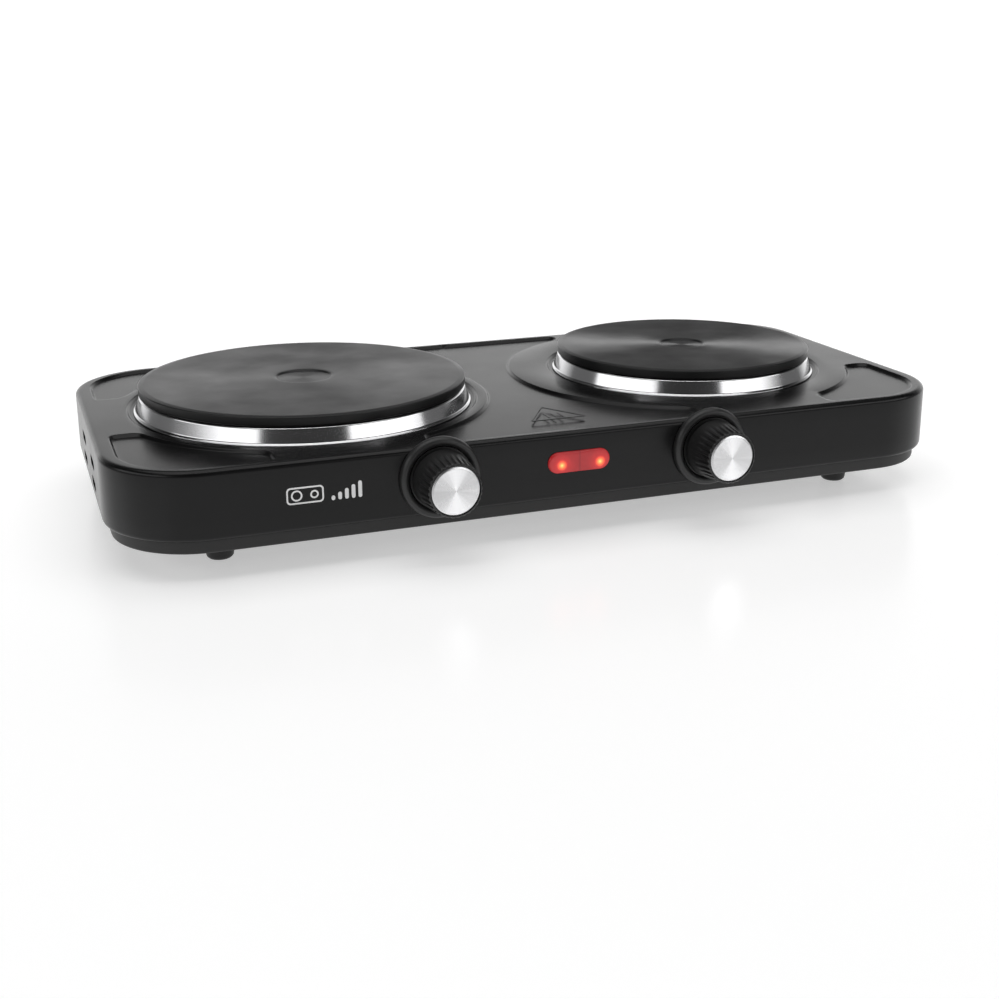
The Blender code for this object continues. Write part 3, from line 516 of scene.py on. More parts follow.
def turned(profile: Array, steps: int = 128, closed: bool = True) -> Sheet:
    """A profile carried round the Z axis: x = r cos a, y = r sin a, z = height.

    Args:
        profile: The profile's points, (radius, height) a row.
        steps: Faces round the axis.
        closed: Whether the profile's last point joins its first.

    Returns:
        The surface.
    """
    angle = np.linspace(0, TAU, steps, endpoint=False)[:, None]
    radius, height = profile[:, 0][None], profile[:, 1][None]
    points = np.stack([radius * np.cos(angle), radius * np.sin(angle), height + 0 * angle], axis=2)
    return Sheet(points, True, closed)


def prism(outline: Array, low: float, high: float) -> Sheet:
    """A closed prism on an outline that bulges everywhere: two fans to its middle, joined by its wall.

    Args:
        outline: The outline's points, (x, y) a row.
        low: The lower fan's height.
        high: The upper fan's height.

    Returns:
        The surface.
    """
    middle = outline.mean(axis=0)
    rings = [middle + 0 * outline, outline, outline, middle + 0 * outline]
    levels = [low, low, high, high]
    columns = [np.column_stack([ring, np.full(len(ring), level)]) for ring, level in zip(rings, levels)]
    return Sheet(np.stack(columns, axis=1), True, False)


def slot_outline(length: float, width: float, steps: int = 12) -> Array:
    """A straight slot with half-round ends, along X, about the origin.

    Args:
        length: The slot's length over its ends.
        width: Its width.
        steps: Faces to an end.

    Returns:
        The outline's points, (x, y) a row.
    """
    turn = np.linspace(-math.pi / 2, math.pi / 2, steps + 1)
    end = np.column_stack([np.cos(turn), np.sin(turn)]) * width / 2 + [length / 2 - width / 2, 0]
    return np.vstack([end, -end])


def round_outline(radius: float, steps: int = 48) -> Array:
    """A circle's points about the origin."""
    turn = np.linspace(0, TAU, steps, endpoint=False)
    return np.column_stack([np.cos(turn), np.sin(turn)]) * radius


def facing_front(sheet: Sheet, origin: Sequence[float]) -> Sheet:
    """Turns a surface made about +Z so that its +Z points out of the front wall, and moves it.

    Args:
        sheet: The surface.
        origin: Where its own origin goes.

    Returns:
        The surface, in place.
    """
    x, y, z = np.moveaxis(sheet.points, 2, 0)
    turned_points = np.stack([x + origin[0], origin[1] - z, y + origin[2]], axis=2)
    return Sheet(turned_points, sheet.rows_close, sheet.columns_close)


def facing_back(sheet: Sheet, origin: Sequence[float]) -> Sheet:
    """Turns a surface made about +Z so that its +Z points out of the back wall, and moves it.

    Args:
        sheet: The surface.
        origin: Where its own origin goes.

    Returns:
        The surface, in place.
    """
    x, y, z = np.moveaxis(sheet.points, 2, 0)
    turned_points = np.stack([-x + origin[0], origin[1] + z, y + origin[2]], axis=2)
    return Sheet(turned_points, sheet.rows_close, sheet.columns_close)


def rounded_box_distance(x: Array, y: Array, half_x: float, half_y: float, corner: float) -> Array:
    """How far a point lies outside a rectangle with round corners; negative inside.

    Args:
        x: Distance from the rectangle's middle along X.
        y: Distance from its middle along Y.
        half_x: Half its length.
        half_y: Half its width.
        corner: Its corners' radius.

    Returns:
        The distance in metres.
    """
    qx, qy = np.abs(x) - (half_x - corner), np.abs(y) - (half_y - corner)
    outside = np.hypot(np.maximum(qx, 0), np.maximum(qy, 0))
    return outside + np.minimum(np.maximum(qx, qy), 0) - corner


def face_along(mesh: bpy.types.Mesh, wanted: float, below: float = math.inf) -> None:
    """Flips a mesh whose faces point the wrong way on the whole.

    Args:
        mesh: The mesh.
        wanted: 1.0 for faces that should look up, -1.0 for down.
        below: Only faces with their middle under this height count.
    """
    normals, middles = np.empty(len(mesh.polygons) * 3), np.empty(len(mesh.polygons) * 3)
    mesh.polygons.foreach_get("normal", normals)
    mesh.polygons.foreach_get("center", middles)
    if (normals[2::3] * (middles[2::3] < below)).sum() * wanted < 0:
        mesh.flip_normals()


def mesh_of(name: str, sheets: Sequence[Sheet], outward: bool = True) -> bpy.types.Mesh:
    """One mesh from several surfaces, welded where they meet.

    Args:
        name: The mesh's name.
        sheets: The surfaces.
        outward: Whether to turn the faces so that the closed shape's volume is positive.

    Returns:
        The mesh, with a UV map named round that runs along the rows.
    """
    numbers, uvs, start = [], [], 0
    for sheet in sheets:
        faces, uv = sheet.quads()
        numbers.append(faces + start)
        uvs.append(uv)
        start += sheet.points.shape[0] * sheet.points.shape[1]
    mesh = bpy.data.meshes.new(name)
    points = np.vstack([sheet.points.reshape(-1, 3) for sheet in sheets])
    mesh.from_pydata(points, [], np.vstack(numbers))
    layer = mesh.uv_layers.new(name="round")
    layer.data.foreach_set("uv", np.vstack(uvs).astype(np.float32).ravel())
    bm = bmesh.new()
    bm.from_mesh(mesh)
    bmesh.ops.remove_doubles(bm, verts=bm.verts, dist=0.0000015)
    bmesh.ops.dissolve_degenerate(bm, edges=bm.edges, dist=0.000001)
    bmesh.ops.recalc_face_normals(bm, faces=bm.faces)
    if outward and bm.calc_volume(signed=True) < 0:
        bmesh.ops.reverse_faces(bm, faces=bm.faces)
    bm.to_mesh(mesh)
    bm.free()
    return mesh


def finished(
    mesh: bpy.types.Mesh, finish: object, body: str, nodes: Sequence[str] = (), angle: float = 38.0
) -> bpy.types.Object:
    """Makes a mesh a piece of the hot plate.

    Args:
        mesh: The piece's mesh, in place.
        finish: What it is coated with or made of.
        body: The CAD body that it moves with.
        nodes: The CAD nodes that it stands for.
        angle: The angle in degrees past which an edge stays sharp.

    Returns:
        The piece.
    """
    piece = bpy.data.objects.new(mesh.name, mesh)
    bpy.context.scene.collection.objects.link(piece)
    mesh.materials.clear()
    mesh.materials.append(finish.material())
    mesh.shade_smooth()
    mesh.set_sharp_from_angle(angle=math.radians(angle))
    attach(piece, body)
    if nodes:
        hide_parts(*nodes)
    return piece


def modified(mesh: bpy.types.Mesh, wall: float = 0.0, cutters: Sequence[Sheet] = ()) -> bpy.types.Mesh:
    """A mesh given a wall's thickness on its inner side, and then cut.

    Args:
        mesh: An open surface that faces outwards, or a closed one with no wall to add.
        wall: The wall's thickness.
        cutters: Closed surfaces to take away.

    Returns:
        The new mesh.
    """
    scene = bpy.context.scene
    body = bpy.data.objects.new(mesh.name + "_raw", mesh)
    scene.collection.objects.link(body)
    tools = [body]
    if wall:
        solidify = body.modifiers.new("wall", "SOLIDIFY")
        solidify.thickness = wall
        solidify.offset = -1.0
        solidify.use_even_offset = True
    for k, sheet in enumerate(cutters):
        tool = bpy.data.objects.new(f"{mesh.name}_tool_{k}", mesh_of(f"{mesh.name}_tool_{k}", [sheet]))
        scene.collection.objects.link(tool)
        cut = body.modifiers.new(f"cut_{k}", "BOOLEAN")
        cut.operation = "DIFFERENCE"
        cut.object = tool
        tools.append(tool)
    graph = bpy.context.evaluated_depsgraph_get()
    name = mesh.name
    result = bpy.data.meshes.new_from_object(body.evaluated_get(graph))
    for tool in tools:
        bpy.data.objects.remove(tool)
    mesh.name, result.name = name + "_raw", name
    return result


# ---------------------------------------------------------------- the case


class Size(Enum):
    """The two cooking plates, by the name that their solids start with."""

    LARGE = "large"
    SMALL = "small"


@dataclass
class Case:
    """The pressed top shell and the base pan under it."""

    length: float = 0.474
    depth: float = 0.232
    corner: float = 0.048
    sheet: float = 0.0008
    bend: float = 0.0030
    lip_roll: float = 0.0030
    lip_inset: float = 0.0034
    rim_side: float = 0.0090
    rim_front: float = 0.0065
    recess: float = 0.0016
    ramp: float = 0.0021
    round_radius: float = 0.104
    land: float = 0.040
    pocket_corner: float = 0.006
    round_x: float = 0.117
    opening_inset: float = 0.0035
    well_reach: float = 0.0062
    pan_inset: float = 0.0038
    pan_edge: float = 0.0014
    seam_rise: float = 0.0069
    bush_hole: float = 0.0048
    gland_hole: float = 0.0065
    cut_reach: float = 0.006
    vent_size: tuple[float, float] = (0.0200, 0.0052)
    vent_y: tuple[float, float] = (-0.0295, 0.0210)
    vent_rise: tuple[float, float] = (0.0163, 0.0277)
    post_radii: tuple[float, float] = (0.0022, 0.0045)
    pan_slot: tuple[float, float] = (0.044, 0.0045)
    pan_slot_pitch: float = 0.024
    rays: int = 420
    centre: tuple[float, float, float] = field(init=False)
    top: float = field(init=False)
    seam: float = field(init=False)
    foot: float = field(init=False)
    pan_top: float = field(init=False)
    plate_x: tuple[float, ...] = field(init=False)
    openings: tuple[float, ...] = field(init=False)
    wells: tuple[float, ...] = field(init=False)
    plate_y: float = field(init=False)

    def __post_init__(self) -> None:
        """Takes the heights and the case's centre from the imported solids."""
        low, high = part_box("top_shell")
        self.centre = (0.0, (low.y + high.y) / 2, 0.0)
        self.top = high.z
        pan_low, pan_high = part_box("base_pan")
        self.foot, self.pan_top = pan_low.z, pan_high.z
        self.seam = self.foot + self.seam_rise
        plates = [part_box(f"{size.value}_hotplate") for size in Size]
        self.plate_x = tuple((a.x + b.x) / 2 for a, b in plates)
        self.openings = tuple((b.x - a.x) / 2 - self.opening_inset for a, b in plates)
        self.wells = tuple((b.x - a.x) / 2 + self.well_reach for a, b in plates)
        self.plate_y = (plates[0][0].y + plates[0][1].y) / 2 - self.centre[1]

    def recess_distance(self, x: Array, y: Array) -> Array:
        """How far a point lies outside the low parts of the top; negative inside them.

        They are what is inside the rim and outside the raised rounds and their lands, so the distance is the
        largest of the rim outline's own and of each raised part's turned inside out, with rounded creases. The
        wells that the plates' rings stand in are low too, so the least of that and of their own distances counts.

        Args:
            x: Distance along the case from its centre.
            y: Distance from its centre towards the back.

        Returns:
            The distance in metres.
        """
        half_x, half_y = self.length / 2 - self.rim_side, self.depth / 2 - self.rim_front
        out = rounded_box_distance(x, y, half_x, half_y, self.corner - self.rim_side)
        for side in (-1, 1):
            across, along = x * side - self.round_x, y - self.plate_y
            out = soft_max(out, self.round_radius - np.hypot(across, along), 0.0015)
            out = soft_max(out, self.land - np.abs(across), self.pocket_corner)
            out = soft_max(out, np.minimum(self.land - np.abs(along), across), self.pocket_corner)
        for plate_x, well in zip(self.plate_x, self.wells):
            out = np.minimum(out, np.hypot(x - plate_x, y - self.plate_y) - well)
        return out

    def height(self, x: Array, y: Array) -> Array:
        """The top's height: the rim's, less the recess's depth times a smooth step over the ramp's width."""
        inside = 0.5 - self.recess_distance(x, y) / self.ramp
        return self.top - self.recess * smooth_step(inside)

    def ray_reach(self, angle: Array, reach_x: float, half_x: float, half_y: float, corner: float) -> Array:
        """How far rays from a plate's middle run to a rectangle with round corners, found by halving.

        Args:
            angle: The rays' directions.
            reach_x: How far the plate's middle is from the centre line.
            half_x: Half the rectangle's length.
            half_y: Half its width.
            corner: Its corners' radius.

        Returns:
            Each ray's length.
        """
        low, high = np.zeros_like(angle), np.full_like(angle, 0.5)
        for _ in range(50):
            middle = (low + high) / 2
            x, y = middle * np.cos(angle) - reach_x, middle * np.sin(angle) + self.plate_y
            inside = rounded_box_distance(x, y, half_x, half_y, corner) < 0
            low, high = np.where(inside, middle, low), np.where(inside, high, middle)
        return low

    def ray_angles(self, reach_x: float) -> tuple[Array, int, int]:
        """The rays' directions, closer together where a pocket ends, with one at each end of the centre line.

        Args:
            reach_x: How far the plate's middle is from the centre line.

        Returns:
            The angles, and the numbers of the rays to the back and the front end of the centre line.
        """
        fine = np.linspace(0, TAU, 4000)
        density = np.ones_like(fine)
        spots = [(x, y) for x in (-0.040, 0.040) for y in (-0.107, 0.107)] + [(-0.104, 0.040), (-0.104, -0.040)]
        for spot_x, spot_y in spots:
            away = np.angle(np.exp(1j * (fine - math.atan2(spot_y, spot_x))))
            density += 3.0 * np.exp(-((away / 0.045) ** 2))
        total = np.concatenate([[0], np.cumsum((density[1:] + density[:-1]) / 2)])
        angle = np.interp(np.linspace(0, total[-1], self.rays, endpoint=False), total, fine)
        edge = self.depth / 2 - self.bend
        ends = []
        for end_y in (edge, -edge):
            wanted = math.atan2(end_y - self.plate_y, reach_x) % TAU
            number = int(np.argmin(np.abs(angle - wanted)))
            angle[number] = wanted
            ends.append(number)
        return angle, ends[0], ends[1]

    def top_half(self, angle: Array, side: int) -> Sheet:
        """One half of the top: rays from the plate's opening out to the bend or to the centre line.

        Each ray has rings of points with breaks where it crosses the raised round's edge and the rim's, so that
        both edges stay sharp and even all the way round.

        Args:
            angle: The rays' directions on the left half.
            side: -1 for the left half and 1 for its mirror image on the right.

        Returns:
            The half's surface.
        """
        reach_x = abs(self.plate_x[0 if side < 0 else 1])
        inset_x, inset_y = self.length / 2 - self.bend, self.depth / 2 - self.bend
        end = self.ray_reach(angle, reach_x, inset_x, inset_y, self.corner - self.bend)
        middle = np.where(np.cos(angle) > 1e-6, reach_x / np.maximum(np.cos(angle), 1e-6), np.inf)
        end = np.minimum(end, middle)
        rim_x, rim_y = self.length / 2 - self.rim_side, self.depth / 2 - self.rim_front
        rim = self.ray_reach(angle, reach_x, rim_x, rim_y, self.corner - self.rim_side)
        half_ramp = self.ramp * 0.55
        number = 0 if side < 0 else 1
        opening, well = self.openings[number], self.wells[number]
        away = self.round_x - reach_x
        edge = np.cos(angle) * -away + np.sqrt(self.round_radius**2 - (np.sin(angle) * away) ** 2)
        small = 0.00012
        marks = [np.full_like(angle, reach) for reach in (opening, well - half_ramp, well + half_ramp)]
        marks.append(np.maximum(edge - half_ramp, marks[2] + small))
        marks.append(np.minimum(edge + half_ramp, end - 3 * small))
        marks.append(np.clip(rim - half_ramp * 1.2, marks[4] + small, end - 2 * small))
        marks.append(np.clip(rim + half_ramp * 1.2, marks[5] + small, end - small))
        marks.append(end)
        counts = (2, 7, 2, 7, 14, 7, 3)
        rings = [marks[0][:, None]]
        for near, far, count in zip(marks, marks[1:], counts):
            t = np.arange(1, count + 1) / count
            rings.append(near[:, None] + (far - near)[:, None] * t)
        reach = np.hstack(rings)
        x = reach * np.cos(angle)[:, None] - reach_x
        y = reach * np.sin(angle)[:, None] + self.plate_y
        x[:, -1] = np.where(end == middle, 0.0, x[:, -1])
        points = np.stack([side * -x, y, self.height(-side * x, y)], axis=2)
        return Sheet(points if side < 0 else points[::-1], True, False)

    def skirt(self, halves: Sequence[Array]) -> Sheet:
        """The bend, wall and rolled lip: a profile carried round the top's own edge, along its outward normal.

        Args:
            halves: Each half's edge from the back of the centre line round to its front, (x, y) a row.

        Returns:
            The skirt's surface.
        """
        path = np.vstack([halves[0], halves[1][::-1][1:-1]])
        core = [self.length / 2 - self.corner, self.depth / 2 - self.corner]
        q = np.maximum(np.abs(path) - core, 0) * np.sign(path)
        normal = q / np.linalg.norm(q, axis=1, keepdims=True)
        turn = np.linspace(0, math.pi / 2, 8)
        down = np.linspace(self.top - self.bend, self.seam + self.lip_roll, 5)[1:-1]
        roll = np.linspace(0, math.pi / 2, 7)
        rolled_in = self.bend - self.lip_roll * (1 - np.cos(roll))
        rolled_down = self.seam + self.lip_roll * (1 - np.sin(roll))
        straight = np.full(len(down), self.bend)
        offset = np.concatenate([self.bend * np.sin(turn), straight, rolled_in, [self.bend - self.lip_inset]])
        level = np.concatenate([self.top - self.bend * (1 - np.cos(turn)), down, rolled_down, [self.seam]])
        flat = path[:, None, :] + normal[:, None, :] * offset[None, :, None]
        points = np.dstack([flat, np.broadcast_to(level, flat.shape[:2])])
        return Sheet(points, True, False)

    def wall_cutters(self) -> list[Sheet]:
        """The holes in the walls: bushes, indicator window, gland and the vent slots in both ends.

        Returns:
            A closed surface for each hole; a vent's runs through both ends.
        """
        front, back, cut = -self.depth / 2, self.depth / 2, self.cut_reach
        tools = []
        for side in ("left", "right"):
            low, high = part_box(f"{side}_bush_nut")
            spot = ((low.x + high.x) / 2, front, (low.z + high.z) / 2)
            tools.append(facing_front(prism(round_outline(self.bush_hole), -cut, cut), spot))
        low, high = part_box("indicator_lens")
        window = slot_outline(high.x - low.x - 0.002, high.z - low.z - 0.002)
        tools.append(facing_front(prism(window, -cut, cut), (0.0, front, (low.z + high.z) / 2)))
        low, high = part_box("cord_gland")
        spot = ((low.x + high.x) / 2, back, (low.z + high.z) / 2)
        tools.append(facing_back(prism(round_outline(self.gland_hole), -cut, cut), spot))
        slot = prism(slot_outline(*self.vent_size), -0.25, 0.25).points
        for y in self.vent_y:
            for z in self.vent_rise:
                through = np.stack([slot[..., 2], slot[..., 0] + y, slot[..., 1] + (self.foot + z)], axis=2)
                tools.append(Sheet(through, True, False))
        return tools

    def post(self, x: float, y: float) -> Sheet:
        """A tube under the top that takes a foot's screw.

        Args:
            x: The tube's place along the case from its centre.
            y: Its place from the centre towards the back.

        Returns:
            The surface.
        """
        low, high = self.foot + 0.0011, self.top - self.recess - self.sheet - 0.0001
        bore, outer = self.post_radii
        profile = rounded([(outer, high), (outer, low), (bore, low), (bore, high)], (0, 0.0003, 0.0003, 0), 2)
        return turned(profile, 24).moved((x, y, 0))

    def foot_places(self) -> list[tuple[float, float]]:
        """Where the four feet stand, from the case's centre.

        Returns:
            (x, y) for each foot, left before right and front before back.
        """
        low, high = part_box("front_left_foot")
        foot_x, foot_y = -(low.x + high.x) / 2, self.centre[1] - (low.y + high.y) / 2
        return [(sx * foot_x, sy * foot_y) for sx in (-1, 1) for sy in (-1, 1)]

    def build_shell(self) -> None:
        """Makes the top shell, with its openings cut, and paints it."""
        halves, edges = [], []
        for side, plate_x in zip((-1, 1), self.plate_x):
            angle, back, front = self.ray_angles(abs(plate_x))
            half = self.top_half(angle, side)
            points = half.points if side < 0 else half.points[::-1]
            halves.append(half)
            edges.append(points[back : front + 1, -1, :2])
        surface = mesh_of("top_shell_skin", [*halves, self.skirt(edges)], outward=False)
        face_along(surface, 1.0)
        shell = modified(surface, self.sheet, self.wall_cutters())
        posts = mesh_of("posts", [self.post(x, y) for x, y in self.foot_places()])
        bm = bmesh.new()
        bm.from_mesh(shell)
        bm.from_mesh(posts)
        bmesh.ops.translate(bm, verts=bm.verts, vec=self.centre)
        bm.to_mesh(shell)
        bm.free()
        finished(shell, CASE_PAINT, "case", ["top_shell"])

    def build_pan(self) -> None:
        """Makes the base pan: a floor with louvre slots and screw holes, a round edge and a wall."""
        half_x, half_y = self.length / 2 - self.pan_inset, self.depth / 2 - self.pan_inset
        corner = self.corner - self.pan_inset
        turn = np.linspace(0, math.pi / 2, 25)
        arc = np.column_stack([np.cos(turn), np.sin(turn)])
        quarter = [arc, arc[::-1] * [-1, 1], -arc, arc[::-1] * [1, -1]]
        signs = [(1, 1), (-1, 1), (-1, -1), (1, -1)]
        core = np.array([half_x - corner, half_y - corner])
        path = np.vstack([q * corner + core * s for q, s in zip(quarter, signs)])
        normal = np.vstack(quarter)
        edge = self.pan_edge
        swing = np.linspace(0, math.pi / 2, 7)
        fan = (0.0, 0.5, 0.9)
        inner = path - normal * edge
        offsets = [edge * math.sin(a) for a in swing] + [edge, edge]
        levels = [self.foot + edge * (1 - math.cos(a)) for a in swing] + [self.seam, self.pan_top]
        rings = [(inner * f, self.foot) for f in fan]
        rings += [(inner + normal * out, level) for out, level in zip(offsets, levels)]
        rings = [np.column_stack([ring, np.full(len(ring), level)]) for ring, level in rings]
        surface = mesh_of("base_pan_skin", [Sheet(np.stack(rings, axis=1), True, False)], outward=False)
        face_along(surface, -1.0, below=self.foot + 1e-5)
        pan = modified(surface, self.sheet, self.pan_cutters())
        pan.transform(Matrix.Translation(self.centre))
        finished(pan, PAN_PAINT, "case", ["base_pan"])

    def slot_y(self, number: int) -> float:
        """How far behind the case's centre a plate's air slot lies."""
        return (number - 1.5) * self.pan_slot_pitch

    def pan_cutters(self) -> list[Sheet]:
        """The pan's air slots under each plate and its four screw holes.

        Returns:
            A closed surface for each slot and hole.
        """
        tools = []
        for plate_x in self.plate_x:
            for k in range(4):
                slot = prism(slot_outline(*self.pan_slot), self.foot - 0.004, self.foot + 0.004)
                tools.append(slot.moved((plate_x, self.slot_y(k), 0)))
        for x, y in self.foot_places():
            hole = prism(round_outline(self.post_radii[0], 24), self.foot - 0.004, self.foot + 0.004)
            tools.append(hole.moved((x, y, 0)))
        return tools


# ---------------------------------------------------------------- cooking plates


@dataclass
class CookingPlate:
    """A cast plate with a turned top and middle dimple, and the bright ring that frames it."""

    size: Size
    dimple: float
    rim_width: float = 0.0030
    dimple_depth: float = 0.0011
    steps: int = 176

    def __post_init__(self) -> None:
        """Takes the plate's and the ring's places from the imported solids."""
        low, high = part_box(f"{self.size.value}_hotplate")
        self.x, self.y = (low.x + high.x) / 2, (low.y + high.y) / 2
        self.radius, self.top, self.bottom = (high.x - low.x) / 2, high.z, low.z
        ring_low, ring_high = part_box(f"{self.size.value}_trim_ring")
        self.ring_low, self.ring_high = ring_low.z, ring_high.z
        self.ring_radius = (ring_high.x - ring_low.x) / 2

    def plate_profile(self) -> Array:
        """The casting's profile: a dished middle, a faint inner step, a round outer edge, skirt and hollow.

        Returns:
            The profile's points, (radius, height) a row.
        """
        r, top, low = self.radius, self.top, self.bottom
        rib = low + 0.006
        corners = [
            (0.0, top - self.dimple_depth),
            (self.dimple - 0.0012, top - self.dimple_depth * 0.92),
            (self.dimple, top - 0.0003),
            (self.dimple + 0.0016, top - 0.00018),
            (r - self.rim_width, top),
            (r, top - 0.0004),
            (r, top - 0.0050),
            (r - 0.0055, top - 0.0062),
            (r - 0.0055, low),
            (r - 0.0095, low),
            (r - 0.0105, rib),
            (0.0, rib),
        ]
        radii = [0, 0.0008, 0.0005, 0.0006, 0.0015, 0.0006, 0.0008, 0.0006, 0.0004, 0.0004, 0.001, 0]
        return rounded(corners, radii, 5, closed=False)

    def ring_profile(self) -> Array:
        """The ring's profile: an inner flat, a rolled shoulder, a cone and a small turned-out foot.

        Returns:
            The profile's points, (radius, height) a row.
        """
        r, low, high, wall = self.radius, self.ring_low, self.ring_high, 0.0006
        outer = [
            (r - 0.0052, high),
            (r - 0.0012, high),
            (r - 0.0001, high - 0.0008),
            (self.ring_radius - 0.0012, low + 0.0013),
            (self.ring_radius, low + 0.0006),
            (self.ring_radius, low),
        ]
        inner = [
            (self.ring_radius - 0.0011, low),
            (r - 0.0009, high - 0.0012),
            (r - 0.0015, high - wall),
            (r - 0.0052, high - wall),
        ]
        return rounded(outer + inner, [0.0002, 0.0009, 0.0012, 0.0012, 0.0005, 0, 0, 0.0006, 0.0006, 0.0002], 4)

    def nubs(self) -> list[Sheet]:
        """The small locating lugs cast round the plate's underside, which stand on the ring.

        Returns:
            One rounded block for each, set round the skirt at equal angles.
        """
        out = []
        for k in range(8):
            angle = TAU * (k + 0.3) / 8
            corners = [(-0.0022, -0.0012), (0.0022, -0.0012), (0.0022, 0.0012), (-0.0022, 0.0012)]
            block = rounded(corners, [0.0008] * 4, 3)
            radius = self.radius - 0.0024
            spin = np.array([[-math.sin(angle), math.cos(angle)], [math.cos(angle), math.sin(angle)]])
            outline = block @ spin + [radius * math.cos(angle), radius * math.sin(angle)]
            out.append(prism(outline, self.ring_high + 0.0001, self.top - 0.0048).moved((self.x, self.y, 0)))
        return out

    def build(self) -> None:
        """Makes the plate and its ring, each in its own turned finish."""
        name = self.size.value
        centre = (self.x, self.y, self.top)
        streak, gloss, contrast = (0.45, 0.36, 0.25) if self.size is Size.LARGE else (0.88, 0.42, 0.35)
        iron = SpunMetal(
            f"{name}_plate_black", (0.010, 0.010, 0.0102), centre, roughness=gloss, metallic=0.0, streak=streak,
            pitch=0.00075, depth=0.000005, contrast=contrast, specular=0.34,
        )
        bright = SpunMetal(
            f"{name}_ring_steel", (0.66, 0.66, 0.67), centre, roughness=0.16, metallic=1.0, streak=0.3,
            pitch=0.0003, depth=0.0000015, contrast=0.05,
        )
        plate = turned(self.plate_profile(), self.steps, closed=False).moved((self.x, self.y, 0))
        mesh = mesh_of(f"{name}_plate_face", [plate] + self.nubs())
        finished(mesh, iron, "case", [f"{name}_hotplate"], 30)
        ring = turned(self.ring_profile(), self.steps).moved((self.x, self.y, 0))
        finished(mesh_of(f"{name}_ring_face", [ring]), bright, "case", [f"{name}_trim_ring"], 40)


# ---------------------------------------------------------------- controls


class Side(Enum):
    """The two controls, by the name that their solids start with."""

    LEFT = "left"
    RIGHT = "right"


